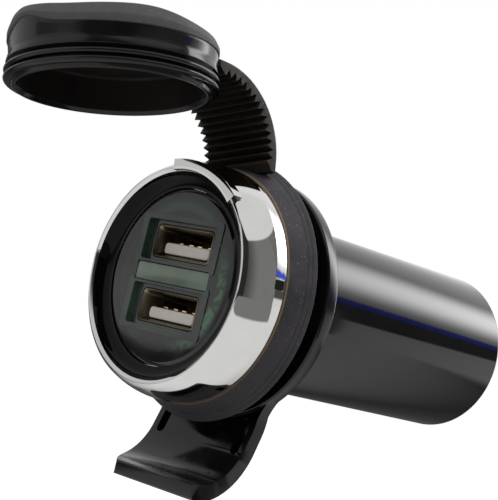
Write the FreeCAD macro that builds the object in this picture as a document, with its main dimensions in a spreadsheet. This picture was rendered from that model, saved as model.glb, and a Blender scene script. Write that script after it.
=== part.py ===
"""Dual USB power socket with a tethered rubber weather cap and a hook bracket, millimetres.

The socket axis is Y. The sockets face -Y, +Z points towards the cap's strap, and the origin
lies on the axis at the rear face of the bracket ring, where the free length of the tube starts.
"""
import FreeCAD
import Part
import math
import os
import re
import Sketcher

V = FreeCAD.Vector

doc = FreeCAD.newDocument("dual_usb_socket")
sheet = doc.addObject("Spreadsheet::Sheet", "Sizes")

# Driving sizes, in groups. A text that starts with "=" is worked out from the others.
sizes = {
    # body tube
    "tube_radius": 14.25,
    "tube_wall": 1.7,
    "tube_free_length": 52.85,
    "tube_end_round": 1.1,
    "neck_step": 0.25,
    "cover_ledge": 0.35,
    "fit_gap": 0.1,
    "feature_overlap": 0.2,
    # bracket ring and the panel gap in front of it
    "ring_width": 3.0,
    "ring_wall": 5.65,
    "ring_taper": 0.35,
    "ring_edge_round": 0.7,
    "panel_gap": 4.0,
    # hook tab of the bracket, its drops measured from the ring's edge
    "tab_half_width": 11.1,
    "tab_thickness": 2.4,
    "tab_root_drop": 0.75,
    "tab_straight": 3.0,
    "tab_drop": 4.9,
    "tab_bend_reach": 1.5,
    "tip_reach": 10.4,
    "tip_drop": 6.8,
    "tip_thickness": 1.5,
    "tip_lean": 0.2,
    "tab_rear_sag": 1.55,
    "tab_front_sag": 1.3,
    "tab_front_lift": 0.3,
    "tab_corner_round": 1.2,
    "flare_start_angle": 52.0,
    "flare_inset": 0.3,
    "flare_drop": 2.6,
    "flare_sag": 0.93,
    "groove_width": 1.8,
    "groove_margin": 1.2,
    "groove_overrun": 0.4,
    "groove_depth": 0.5,
    "groove_reach": 4.0,
    # rubber collar
    "collar_length": 4.5,
    "collar_wall": 2.7,
    "collar_flare": 2.4,
    "collar_lip": 1.5,
    "collar_edge_round": 0.35,
    # bezel
    "bezel_length": 8.1,
    "bezel_taper": 0.6,
    "bezel_lip_width": 1.8,
    "bezel_lip_depth": 1.1,
    "bezel_lip_round": 0.9,
    "bezel_lip_crown": 0.3,
    "bezel_lip_inset": 0.1,
    "bezel_waist_sag": 0.1,
    "bezel_rear_round": 0.3,
    "hub_wall": 2.4,
    "hub_length": 2.9,
    "bowl_width": 2.6,
    "bowl_depth": 2.8,
    "bowl_sag": 0.55,
    "web_thickness": 1.0,
    "web_ledge": 1.6,
    # raised arc on the bezel's front
    "arc_start_angle": -16.0,
    "arc_span_angle": 58.0,
    "arc_height": 0.6,
    "arc_width": 1.5,
    "arc_inset": 0.15,
    "arc_root": 1.0,
    # notch in the bezel's side
    "notch_angle": 83.0,
    "notch_width": 1.9,
    "notch_length": 2.0,
    "notch_depth": 0.45,
    "notch_setback": 0.5,
    # insert behind the mouth
    "insert_thickness": 3.15,
    "insert_bevel": 0.6,
    "insert_bevel_depth": 0.35,
    "window_side": 2.4,
    "window_rise": 0.35,
    "window_bar": 0.175,
    "light_side": 1.6,
    "light_depth": 2.6,
    "guide_half_width": 4.0,
    "guide_height": 1.2,
    # USB sockets, spread as far as the tube lets them
    "port_clearance": 2.0,
    "port_offset": 0.2,
    "port_setback": 0.4,
    "shell_width": 13.1,
    "shell_height": 5.7,
    "shell_wall": 0.3,
    "shell_length": 13.9,
    "flare_depth": 0.8,
    "flare_side": 0.45,
    "flare_rise": 0.35,
    "shell_slot_length": 5.5,
    "shell_slot_height": 1.0,
    "shell_slot_start": 4.0,
    "shell_slot_lift": 0.3,
    "spring_slot_width": 2.2,
    "spring_slot_spacing": 6.4,
    "tongue_side": 0.7,
    "tongue_thickness": 1.84,
    "tongue_drop": 0.8,
    "tongue_setback": 1.6,
    "tongue_root_length": 2.4,
    "contact_width": 1.0,
    "contact_rear_gap": 1.2,
    "contact_thickness": 0.2,
    "contact_setback": 0.8,
    "contact_inner_x": 1.0,
    "contact_outer_x": 3.5,
    # carrier and circuit board
    "carrier_thickness": 3.0,
    "rail_inset": 0.45,
    "rail_width": 2.5,
    "rail_grip": 0.6,
    "rail_half_height": 2.2,
    "rail_setback": 4.4,
    "shelf_inset": 0.15,
    "shelf_width": 1.8,
    "shelf_length": 6.0,
    "board_thickness": 1.6,
    "board_setback": 6.5,
    "led_width": 3.4,
    "led_depth": 1.2,
    "inductor_radius": 4.0,
    "inductor_height": 4.5,
    "inductor_margin": 1.6,
    "inductor_setback": 14.9,
    "capacitor_radius": 3.15,
    "capacitor_height": 7.0,
    "capacitor_margin": 2.65,
    "capacitor_place": 18.4,
    "capacitor_pitch": 8.5,
    "regulator_width": 3.9,
    "regulator_length": 4.9,
    "regulator_place": 21.4,
    "chip_height": 1.5,
    "port_chip_width": 3.0,
    "port_chip_length": 3.0,
    "port_chip_place": 11.4,
    # rear cover and blade terminals
    "cover_recess": 2.45,
    "cover_thickness": 2.0,
    "divider_height": 1.6,
    "divider_thickness": 1.2,
    "divider_half_length": 8.0,
    "blade_width": 6.35,
    "blade_thickness": 0.8,
    "blade_x": 5.0,
    "blade_reach": 8.0,
    "blade_tip_chamfer": 1.2,
    "blade_hole_radius": 0.85,
    "blade_hole_setback": 3.0,
    # weather cap, in its own frame: rim at zero, top upwards; its lips fit the bezel's mouth
    "lip_clearance": 0.7,
    "lip_depth": 1.0,
    "cap_rim_inset": 1.37,
    "cap_wall": 1.63,
    "cap_cup_depth": 6.0,
    "cap_rim_round": 0.4,
    "lip_first_height": 0.55,
    "lip_height": 0.95,
    "lip_groove": 0.25,
    "lip_edge_sag": 0.4,
    "lip_count": 2,
    "cap_neck_depth": 0.9,
    "cap_head_start": 3.3,
    "cap_head_chamfer": 0.35,
    "cap_head_inset": 0.25,
    "cap_head_waist": 0.3,
    "cap_head_height": 8.2,
    "cap_top_rise": 1.2,
    "cap_top_step": 0.6,
    "cap_tilt_angle": 4.8,
    "cap_twist_angle": 10.9,
    # thumb grip on the cap's front edge
    "grip_angle": 3.0,
    "grip_setback": 3.45,
    "grip_half_length": 9.0,
    "grip_half_width": 3.2,
    "grip_half_height": 1.5,
    # strap between collar and cap
    "strap_half_width": 8.5,
    "strap_back_radius": 13.0,
    "strap_web": 1.7,
    "strap_rib_depth": 0.85,
    "strap_rib_half_pitch": 0.6,
    "strap_rib_count": 13,
    "strap_rib_span": 78.0,
    "strap_rim": 1.0,
    "strap_overrun": 4.0,
    "strap_root_inset": 2.0,
    "strap_root_setback": 2.0,
    "strap_lift": 0.4,
    "strap_gap": 0.12,
    "cap_gap": 0.3,
    "cap_inset": 0.05,
    "cap_drop": 8.6,
    "seat_overrun": 2.0,
    # radii that follow from the tube outwards
    "tube_inner_radius": "=tube_radius - tube_wall",
    "neck_radius": "=tube_radius - neck_step",
    "neck_bore_radius": "=neck_radius + fit_gap",
    "cover_seat_radius": "=tube_inner_radius + cover_ledge",
    "ring_rear_radius": "=tube_radius + ring_wall",
    "ring_front_radius": "=ring_rear_radius + ring_taper",
    "hub_radius": "=neck_bore_radius + hub_wall",
    "collar_inner_radius": "=hub_radius + fit_gap",
    "collar_front_radius": "=collar_inner_radius + collar_wall",
    "collar_rear_radius": "=collar_front_radius + collar_flare",
    "collar_slope": "=collar_flare / collar_length",
    "bezel_front_radius": "=collar_front_radius - bezel_taper",
    "mouth_radius": "=bezel_front_radius - bezel_lip_width",
    "arc_radius": "=mouth_radius + arc_inset",
    "insert_radius": "=mouth_radius - bowl_width",
    "insert_bore_radius": "=insert_radius + fit_gap",
    "web_bore_radius": "=insert_radius - web_ledge",
    "lip_radius": "=mouth_radius - lip_clearance",
    "lip_neck_radius": "=lip_radius - lip_depth",
    "cap_rim_radius": "=lip_radius - cap_rim_inset",
    "cap_cup_radius": "=cap_rim_radius - cap_wall",
    "cap_neck_radius": "=lip_radius - cap_neck_depth",
    "cap_head_radius": "=lip_radius - cap_head_inset",
    "cap_dome_radius": "=((cap_head_radius - cap_top_step) ^ 2 + cap_top_rise ^ 2) / (2 * cap_top_rise)",
    "cap_dome_sag": "=cap_dome_radius - sqrt(cap_dome_radius ^ 2 - cap_dome_radius * cap_top_rise / 2)",
    "strap_front_radius": "=strap_back_radius - strap_web",
    # sizes of the ports and of what frames them
    "port_pitch": "=tube_inner_radius - port_clearance",
    "flare_width": "=shell_width + 2 * flare_side",
    "flare_height": "=shell_height + 2 * flare_rise",
    "shell_inner_width": "=shell_width - 2 * shell_wall",
    "shell_inner_height": "=shell_height - 2 * shell_wall",
    "tongue_width": "=shell_inner_width - 2 * tongue_side",
    "window_half_width": "=flare_width / 2 + window_side",
    "window_height": "=flare_height + 2 * window_rise",
    "light_half_width": "=flare_width / 2 + light_side",
    "light_height": "=port_pitch - window_height - 2 * window_bar",
    "rail_outer_x": "=tube_inner_radius - rail_inset",
    "rail_inner_x": "=rail_outer_x - rail_width",
    "shelf_outer_x": "=shell_width / 2 - shelf_inset",
    "shelf_inner_x": "=shelf_outer_x - shelf_width",
    "board_half_width": "=rail_inner_x + rail_grip",
    "inductor_x": "=inductor_margin + inductor_radius - board_half_width",
    "capacitor_x": "=board_half_width - capacitor_margin - capacitor_radius",
    # places along the axis
    "tube_end_y": "=tube_free_length",
    "ring_front_y": "=-ring_width",
    "collar_rear_y": "=ring_front_y - panel_gap",
    "collar_front_y": "=collar_rear_y - collar_length",
    "hub_rear_y": "=collar_front_y + hub_length",
    "mouth_y": "=collar_front_y - bezel_length",
    "insert_face_y": "=mouth_y + bowl_depth",
    "insert_rear_y": "=insert_face_y + insert_thickness",
    "web_front_y": "=insert_rear_y + fit_gap / 2",
    "web_rear_y": "=web_front_y + web_thickness",
    "tube_front_y": "=web_rear_y + fit_gap",
    "carrier_rear_y": "=tube_front_y + carrier_thickness",
    "cover_front_y": "=tube_end_y - cover_recess - cover_thickness",
    "board_front_y": "=carrier_rear_y + fit_gap",
    "board_rear_y": "=cover_front_y - board_setback",
    "rail_rear_y": "=board_rear_y - rail_setback",
    "inductor_y": "=board_rear_y - inductor_setback",
    "capacitor_first_y": "=board_front_y + capacitor_place",
    "regulator_y": "=board_front_y + regulator_place",
    "port_chip_y": "=board_front_y + port_chip_place",
    "shell_front_y": "=insert_face_y + port_setback",
    "shell_rear_y": "=shell_front_y + shell_length",
    "tongue_front_y": "=shell_front_y + tongue_setback",
    "tongue_root_y": "=shell_rear_y - shell_wall - tongue_root_length",
    "contact_front_y": "=tongue_front_y + contact_setback",
    "contact_rear_y": "=tongue_root_y - contact_rear_gap",
    "strap_centre_y": "=collar_rear_y - strap_root_setback - strap_back_radius",
    "cap_centre_y": "=strap_centre_y - cap_head_radius + cap_inset",
    # places across the axis
    "board_top_z": "=port_offset + board_thickness / 2",
    "board_bottom_z": "=port_offset - board_thickness / 2",
    "strap_centre_z": "=collar_front_radius + strap_lift",
    "cap_centre_z": "=strap_centre_z + strap_back_radius - cap_drop",
    # hook tab, from the ring down to the tip
    "tab_top_z": "=-tube_radius - tab_root_drop",
    "tab_straight_z": "=tab_top_z - tab_straight",
    "tab_bend_y": "=-tab_bend_reach",
    "tab_bend_z": "=-ring_rear_radius - tab_drop",
    "tip_y": "=-tip_reach",
    "tip_z": "=tab_bend_z - tip_drop",
    "flare_start_x": "=(ring_rear_radius - flare_inset) * sin(flare_start_angle)",
    "flare_start_z": "=-(ring_rear_radius - flare_inset) * cos(flare_start_angle)",
    "flare_end_z": "=-ring_rear_radius - flare_drop",
    "groove_outer_x": "=tab_half_width - groove_margin",
    "groove_inner_x": "=groove_outer_x - groove_width",
    "groove_end_z": "=tab_bend_z - groove_overrun",
    "groove_floor_y": "=-tab_thickness - groove_depth",
}


def write_sheet():
    """Write every size as a named cell of the sheet."""
    for row, (name, value) in enumerate(sizes.items(), start=1):
        sheet.set("A%d" % row, name)
        sheet.set("B%d" % row, str(value))
        sheet.setAlias("B%d" % row, name)
    doc.recompute()


write_sheet()


def value_of(expression):
    """Number that an expression of cell names gives."""
    result = sheet.evalExpression(expression)
    return float(getattr(result, "Value", result))


def bound(expression):
    """The same expression with each cell name led by the sheet's name."""
    return re.sub(r"[a-z][a-z_0-9]*", lambda word: "Sizes." + word.group(), expression)


def bind(item, path, expression):
    item.setExpression(path, bound(expression))


def rectangle(left, right, low, high):
    return [(left, low), (right, low), (right, high), (left, high)]


def rounded_rectangle(left, right, low, high, radius, sag):
    """Rectangle with arcs of the given sag across corners cut at the given radius."""
    return [
        ("%s + %s" % (left, radius), low, sag, -1),
        ("%s - %s" % (right, radius), low),
        (right, "%s + %s" % (low, radius), sag, -1),
        (right, "%s - %s" % (high, radius)),
        ("%s - %s" % (right, radius), high, sag, -1),
        ("%s + %s" % (left, radius), high),
        (left, "%s - %s" % (high, radius), sag, -1),
        (left, "%s + %s" % (low, radius)),
    ]


def draw_circle(sketch, centre_x, centre_y, radius):
    """Circle of a sketch, with its centre and radius tied to the sheet."""
    centre = V(value_of(centre_x), value_of(centre_y), 0)
    index = sketch.addGeometry(Part.Circle(centre, V(0, 0, 1), value_of(radius)))
    for kind, expression in (("DistanceX", centre_x), ("DistanceY", centre_y)):
        number = sketch.addConstraint(Sketcher.Constraint(kind, -1, 1, index, 3, value_of(expression)))
        bind(sketch, "Constraints[%d]" % number, expression)
    number = sketch.addConstraint(Sketcher.Constraint("Radius", index, value_of(radius)))
    bind(sketch, "Constraints[%d]" % number, radius)


def arc_between(start, end, sag, side):
    """Arc from start to end that bulges by sag to the left (side 1) or the right (side -1)."""
    chord = end - start
    left = V(-chord.y, chord.x, 0).normalize()
    radius = (chord.Length ** 2 / 4 + sag ** 2) / (2 * sag)
    centre = (start + end) * 0.5 + left * (side * (sag - radius))
    first, last = (end, start) if side > 0 else (start, end)
    angles = [math.atan2(point.y - centre.y, point.x - centre.x) for point in (first, last)]
    return Part.ArcOfCircle(Part.Circle(centre, V(0, 0, 1), radius), angles[0], angles[1])


def draw_outline(sketch, outline):
    """Closed outline of lines and arcs, each corner tied to the sheet.

    A corner is (x, y) where a line arrives and (x, y, sag, side) where an arc arrives.
    The first corner is reached from the last one.
    """
    corners = [V(value_of(item[0]), value_of(item[1]), 0) for item in outline]
    edges = []
    for number, item in enumerate(outline):
        start = corners[number - 1]
        end = corners[number]
        if len(item) == 2:
            index = sketch.addGeometry(Part.LineSegment(start, end))
            edges.append((index, 1, 2))
            continue
        sag, side = item[2], item[3]
        index = sketch.addGeometry(arc_between(start, end, value_of(sag), side))
        edges.append((index, 2, 1) if side > 0 else (index, 1, 2))
        before = outline[number - 1]
        across = "(%s - (%s))" % (item[0], before[0])
        along = "(%s - (%s))" % (item[1], before[1])
        radius = "((%s ^ 2 + %s ^ 2) / 4 + (%s) ^ 2) / (2 * (%s))" % (across, along, sag, sag)
        constraint = sketch.addConstraint(Sketcher.Constraint("Radius", index, value_of(radius)))
        bind(sketch, "Constraints[%d]" % constraint, radius)
    for number, (index, first, last) in enumerate(edges):
        following = edges[(number + 1) % len(edges)]
        sketch.addConstraint(Sketcher.Constraint("Coincident", index, last, following[0], following[1]))
        for kind, expression in (("DistanceX", outline[number][0]), ("DistanceY", outline[number][1])):
            constraint = sketch.addConstraint(
                Sketcher.Constraint(kind, -1, 1, index, last, value_of(expression)))
            bind(sketch, "Constraints[%d]" % constraint, expression)


def new_body(label):
    body = doc.addObject("PartDesign::Body", label)
    body.Label = label
    return body


def origin_feature(body, role):
    return next(item for item in body.Origin.OriginFeatures if item.Role == role)


def add_sketch(body, name, plane, outlines, offset="0"):
    """Sketch on one of the body's origin planes, moved along the plane's normal by an offset."""
    sketch = body.newObject("Sketcher::SketchObject", name)
    sketch.AttachmentSupport = [(origin_feature(body, plane), "")]
    sketch.MapMode = "FlatFace"
    if offset != "0":
        bind(sketch, "AttachmentOffset.Base.z", offset)
    for outline in outlines:
        if outline[0] == "circle":
            draw_circle(sketch, *outline[1:])
        else:
            draw_outline(sketch, outline)
    doc.recompute()
    return sketch


def turn(body, name, outline):
    """Solid of revolution about the socket axis from an outline of (along, radius) corners."""
    sketch = add_sketch(body, name + "_profile", "YZ_Plane", [outline])
    feature = body.newObject("PartDesign::Revolution", name)
    feature.Profile = sketch
    feature.ReferenceAxis = (sketch, ["H_Axis"])
    feature.Angle = 360
    doc.recompute()
    return feature


def extrude(body, name, plane, outlines, start, length, cut=False):
    """Pad or pocket that runs from start towards the positive side of the plane's axis."""
    facing_back = plane == "XZ_Plane"
    offset = "-(%s)" % start if facing_back else start
    sketch = add_sketch(body, name + "_profile", plane, outlines, offset)
    volume = body.Shape.Volume if cut else 0
    feature = body.newObject("PartDesign::Pocket" if cut else "PartDesign::Pad", name)
    feature.Profile = sketch
    feature.Type = 0
    bind(feature, "Length", length)
    feature.Reversed = facing_back != cut
    doc.recompute()
    if cut and not body.Shape.Volume < volume:
        raise RuntimeError("%s cuts nothing" % name)
    return feature


def box(label, low, high):
    """Plain box between two corners given as expressions."""
    item = doc.addObject("Part::Box", label)
    item.Label = label
    for side, first, last in zip(("Length", "Width", "Height"), low, high):
        bind(item, side, "%s - (%s)" % (last, first))
    for axis, expression in zip("xyz", low):
        bind(item, "Placement.Base." + axis, expression)
    return item


def rod(label, radius, height, place):
    """Upright cylinder standing at a place given as expressions."""
    item = doc.addObject("Part::Cylinder", label)
    item.Label = label
    bind(item, "Radius", radius)
    bind(item, "Height", height)
    for axis, expression in zip("xyz", place):
        bind(item, "Placement.Base." + axis, expression)
    return item


nodes = []


# Bezel: flared front ring with a rounded lip, a bowl down to the insert, and a hub for the collar
def build_bezel():
    body = new_body("bezel")
    turn(body, "bezel_ring", [
        ("mouth_y + bezel_lip_crown", "mouth_radius - bezel_lip_inset", "bowl_sag", 1),
        ("mouth_y + bezel_lip_depth", "bezel_front_radius", "bezel_lip_round", 1),
        ("collar_front_y - bezel_rear_round", "collar_front_radius", "bezel_waist_sag", -1),
        ("collar_front_y", "collar_front_radius - bezel_rear_round"),
        ("collar_front_y", "hub_radius"),
        ("hub_rear_y", "hub_radius"),
        ("hub_rear_y", "neck_bore_radius"),
        ("web_rear_y", "neck_bore_radius"),
        ("web_rear_y", "web_bore_radius"),
        ("web_front_y", "web_bore_radius"),
        ("web_front_y", "insert_bore_radius"),
        ("insert_face_y", "insert_bore_radius"),
    ])
    arc = add_sketch(body, "bezel_arc_profile", "YZ_Plane", [rectangle(
        "mouth_y - arc_height", "mouth_y + arc_root", "arc_radius", "arc_radius + arc_width")])
    turned = FreeCAD.Rotation(V(1, 0, 0), -value_of("arc_start_angle"))
    arc.AttachmentOffset = FreeCAD.Placement(V(0, 0, 0), turned)
    feature = body.newObject("PartDesign::Revolution", "bezel_arc")
    feature.Profile = arc
    feature.ReferenceAxis = (arc, ["H_Axis"])
    bind(feature, "Angle", "arc_span_angle")
    doc.recompute()
    notch = body.newObject("PartDesign::SubtractiveBox", "bezel_notch")
    bind(notch, "Length", "notch_width")
    bind(notch, "Width", "notch_length")
    bind(notch, "Height", "notch_depth + collar_wall")
    turned = FreeCAD.Rotation(V(0, 1, 0), value_of("notch_angle"))
    corner = V(value_of("-notch_width / 2"), value_of("collar_front_y - notch_setback - notch_length"),
               value_of("collar_front_radius - notch_depth"))
    notch.Placement = FreeCAD.Placement(turned.multVec(corner), turned)
    doc.recompute()
    nodes.append(body)


# Insert: smoky plate with a window round each port and one between them for the light bar
def build_insert():
    body = new_body("port_face")
    turn(body, "port_face_disc", [
        ("insert_face_y", "0"),
        ("insert_face_y", "insert_radius - insert_bevel"),
        ("insert_face_y + insert_bevel_depth", "insert_radius"),
        ("insert_rear_y", "insert_radius"),
        ("insert_rear_y", "0"),
    ])
    windows = [rectangle("-light_half_width", "light_half_width",
                         "port_offset - light_height / 2", "port_offset + light_height / 2")]
    for centre in ("port_offset + port_pitch / 2", "port_offset - port_pitch / 2"):
        windows.append(rectangle("-window_half_width", "window_half_width",
                                 "%s - window_height / 2" % centre, "%s + window_height / 2" % centre))
    extrude(body, "port_face_windows", "XZ_Plane", windows, "insert_face_y", "insert_thickness", cut=True)
    nodes.append(body)

    light = new_body("light_window")
    half_width = "light_half_width - fit_gap"
    half_height = "(light_height / 2 - fit_gap)"
    extrude(light, "light_bar", "XZ_Plane", [rectangle(
        "-(%s)" % half_width, half_width, "port_offset - " + half_height, "port_offset + " + half_height)],
        "insert_face_y", "light_depth")
    extrude(light, "light_guide", "XZ_Plane", [rectangle(
        "-guide_half_width", "guide_half_width",
        "port_offset - guide_height / 2", "port_offset + guide_height / 2")],
        "insert_face_y + light_depth", "web_rear_y - insert_face_y - light_depth")
    nodes.append(light)


# One USB socket: flared metal shell, plastic tongue with its root block, and four contacts
def build_port(place, centre):
    shell = new_body("usb_shell_" + place)
    body_start = "shell_front_y + flare_depth"

    def frame(width, height):
        return rectangle("-(%s) / 2" % width, "(%s) / 2" % width,
                         "%s - (%s) / 2" % (centre, height), "%s + (%s) / 2" % (centre, height))

    extrude(shell, "shell_tube_" + place, "XZ_Plane", [frame("shell_width", "shell_height")],
            body_start, "shell_length - flare_depth")
    flare = []
    hollow = []
    for name, start, outer, inner in (
            ("front", "shell_front_y", ("flare_width", "flare_height"),
             ("flare_width - 2 * shell_wall", "flare_height - 2 * shell_wall")),
            ("rear", body_start, ("shell_width", "shell_height"),
             ("shell_inner_width", "shell_inner_height"))):
        flare.append(add_sketch(shell, "flare_%s_%s" % (name, place), "XZ_Plane", [frame(*outer)],
                                "-(%s)" % start))
        hollow.append(add_sketch(shell, "hollow_%s_%s" % (name, place), "XZ_Plane", [frame(*inner)],
                                 "-(%s)" % start))
    for kind, sketches, name in (("AdditiveLoft", flare, "shell_flare_"),
                                 ("SubtractiveLoft", hollow, "flare_hollow_")):
        loft = shell.newObject("PartDesign::" + kind, name + place)
        loft.Profile = sketches[0]
        loft.Sections = [(sketches[1], [""])]
        loft.Ruled = True
        doc.recompute()
    extrude(shell, "shell_hollow_" + place, "XZ_Plane", [frame("shell_inner_width", "shell_inner_height")],
            body_start, "shell_length - flare_depth - shell_wall", cut=True)
    slot_start = "shell_front_y + shell_slot_start"
    slot_end = slot_start + " + shell_slot_length"
    extrude(shell, "side_slots_" + place, "YZ_Plane", [rectangle(
        slot_start, slot_end, centre + " + shell_slot_lift",
        centre + " + shell_slot_lift + shell_slot_height")],
        "-shell_width", "2 * shell_width", cut=True)
    springs = []
    for side in ("-", ""):
        middle = "%sspring_slot_spacing / 2" % side
        springs.append(rectangle(middle + " - spring_slot_width / 2", middle + " + spring_slot_width / 2",
                                 slot_start, slot_end))
    extrude(shell, "spring_slots_" + place, "XY_Plane", springs,
            centre + " - shell_height", "2 * shell_height", cut=True)
    nodes.append(shell)

    tongue = new_body("usb_tongue_" + place)
    low = centre + " - tongue_drop - tongue_thickness / 2"
    high = centre + " - tongue_drop + tongue_thickness / 2"
    round_size = "tongue_thickness * 0.4"
    extrude(tongue, "tongue_plate_" + place, "XZ_Plane", [rounded_rectangle(
        "-tongue_width / 2", "tongue_width / 2", low, high, round_size, "tongue_thickness * 0.11")],
        "tongue_front_y", "tongue_root_y - tongue_front_y")
    extrude(tongue, "tongue_root_" + place, "XZ_Plane", [frame(
        "(shell_inner_width - 2 * fit_gap)", "(shell_inner_height - 2 * fit_gap)")],
        "tongue_root_y", "tongue_root_length - fit_gap / 2")
    nodes.append(tongue)

    contact_places = ("-contact_outer_x", "-contact_inner_x", "contact_inner_x", "contact_outer_x")
    for number, middle in enumerate(contact_places, start=1):
        nodes.append(box("usb_contact_%s_%d" % (place, number),
                         (middle + " - contact_width / 2", "contact_front_y", high),
                         (middle + " + contact_width / 2", "contact_rear_y",
                          high + " + contact_thickness")))


# Carrier: disc round the two shells, shelves that hold them off the board, and two board rails
def build_carrier():
    body = new_body("module_carrier")
    extrude(body, "carrier_disc", "XZ_Plane", [("circle", "0", "0", "tube_inner_radius - fit_gap")],
            "tube_front_y", "carrier_thickness")
    rails = []
    for side in ("-", ""):
        edges = ["%srail_outer_x" % side, "%srail_inner_x" % side]
        left, right = edges if side else edges[::-1]
        rails.append(rectangle(left, right, "port_offset - rail_half_height", "port_offset + rail_half_height"))
    extrude(body, "carrier_rails", "XZ_Plane", rails, "carrier_rear_y", "rail_rear_y - carrier_rear_y")
    shelves = []
    gap = "(port_pitch - shell_height) / 2 - fit_gap / 2"
    for side in ("-", ""):
        edges = ["%sshelf_outer_x" % side, "%sshelf_inner_x" % side]
        left, right = edges if side else edges[::-1]
        shelves.append(rectangle(left, right, "board_top_z + fit_gap / 2", "port_offset + " + gap))
        shelves.append(rectangle(left, right, "port_offset - (%s)" % gap, "board_bottom_z - fit_gap / 2"))
    extrude(body, "carrier_shelves", "XZ_Plane", shelves, "carrier_rear_y", "shelf_length")
    windows = []
    for centre in ("port_offset + port_pitch / 2", "port_offset - port_pitch / 2"):
        windows.append(rectangle(
            "-shell_width / 2 - fit_gap", "shell_width / 2 + fit_gap",
            "%s - shell_height / 2 - fit_gap / 2" % centre, "%s + shell_height / 2 + fit_gap / 2" % centre))
    windows.append(rectangle("-led_width / 2 - fit_gap", "led_width / 2 + fit_gap",
                             "board_bottom_z - fit_gap", "board_top_z + fit_gap"))
    extrude(body, "carrier_windows", "XZ_Plane", windows, "tube_front_y", "carrier_thickness", cut=True)
    extrude(body, "board_groove", "XZ_Plane", [rectangle(
        "-board_half_width - fit_gap", "board_half_width + fit_gap",
        "board_bottom_z - fit_gap / 2", "board_top_z + fit_gap / 2")],
        "carrier_rear_y", "rail_rear_y - carrier_rear_y", cut=True)
    nodes.append(body)


# Circuit board between the ports, with its larger pieces
def build_board():
    nodes.append(box("circuit_board", ("-board_half_width", "board_front_y", "board_bottom_z"),
                     ("board_half_width", "board_rear_y", "board_top_z")))
    nodes.append(box("status_led", ("-led_width / 2", "board_front_y - led_depth", "board_bottom_z"),
                     ("led_width / 2", "board_front_y", "board_top_z")))
    nodes.append(rod("power_inductor", "inductor_radius", "inductor_height",
                     ("inductor_x", "inductor_y", "board_top_z")))
    for number in (1, 2):
        nodes.append(rod("capacitor_%d" % number, "capacitor_radius", "capacitor_height", (
            "capacitor_x", "capacitor_first_y + capacitor_pitch * %d" % (number - 1), "board_top_z")))
    for label, width, length, middle in (
            ("regulator_chip", "regulator_width", "regulator_length", "regulator_y"),
            ("port_chip", "port_chip_width", "port_chip_length", "port_chip_y")):
        nodes.append(box(label, ("-%s / 2" % width, "%s - %s / 2" % (middle, length),
                                 "board_bottom_z - chip_height"),
                         ("%s / 2" % width, "%s + %s / 2" % (middle, length), "board_bottom_z")))


# Body tube: neck in the bezel and the bracket ring, a shoulder against the ring, and a long smooth
# shell whose open rear end has a counterbore for the cover
def build_tube():
    body = new_body("body_tube")
    turn(body, "tube_shell", [
        ("tube_front_y", "tube_inner_radius"),
        ("tube_front_y", "neck_radius"),
        ("0", "neck_radius"),
        ("0", "tube_radius"),
        ("tube_end_y - tube_end_round", "tube_radius"),
        ("tube_end_y", "tube_radius - tube_end_round", "tube_end_round * 0.29", 1),
        ("tube_end_y", "cover_seat_radius"),
        ("cover_front_y", "cover_seat_radius"),
        ("cover_front_y", "tube_inner_radius"),
    ])
    nodes.append(body)

    cover = new_body("rear_cover")
    extrude(cover, "cover_disc", "XZ_Plane", [("circle", "0", "0", "cover_seat_radius - fit_gap")],
            "cover_front_y + fit_gap / 2", "cover_thickness")
    extrude(cover, "cover_divider", "XZ_Plane", [rectangle(
        "-divider_thickness / 2", "divider_thickness / 2", "-divider_half_length", "divider_half_length")],
        "cover_front_y + fit_gap / 2 + cover_thickness", "divider_height")
    slots = []
    for middle in ("-blade_x", "blade_x"):
        slots.append(rectangle(
            middle + " - blade_thickness / 2 - fit_gap", middle + " + blade_thickness / 2 + fit_gap",
            "-blade_width / 2 - fit_gap", "blade_width / 2 + fit_gap"))
    extrude(cover, "blade_slots", "XZ_Plane", slots,
            "cover_front_y - fit_gap", "cover_thickness + 3 * fit_gap", cut=True)
    nodes.append(cover)

    for label, middle in (("terminal_positive", "blade_x"), ("terminal_negative", "-blade_x")):
        blade = new_body(label)
        blade_end = "tube_end_y + blade_reach"
        half = "blade_width / 2"
        extrude(blade, label + "_strip", "YZ_Plane", [[
            ("board_rear_y + fit_gap", "-" + half),
            (blade_end + " - blade_tip_chamfer", "-" + half),
            (blade_end, "-(%s - blade_tip_chamfer)" % half),
            (blade_end, "%s - blade_tip_chamfer" % half),
            (blade_end + " - blade_tip_chamfer", half),
            ("board_rear_y + fit_gap", half),
        ], ("circle", blade_end + " - blade_hole_setback", "0", "blade_hole_radius")],
            middle + " - blade_thickness / 2", "blade_thickness")
        nodes.append(blade)


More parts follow.
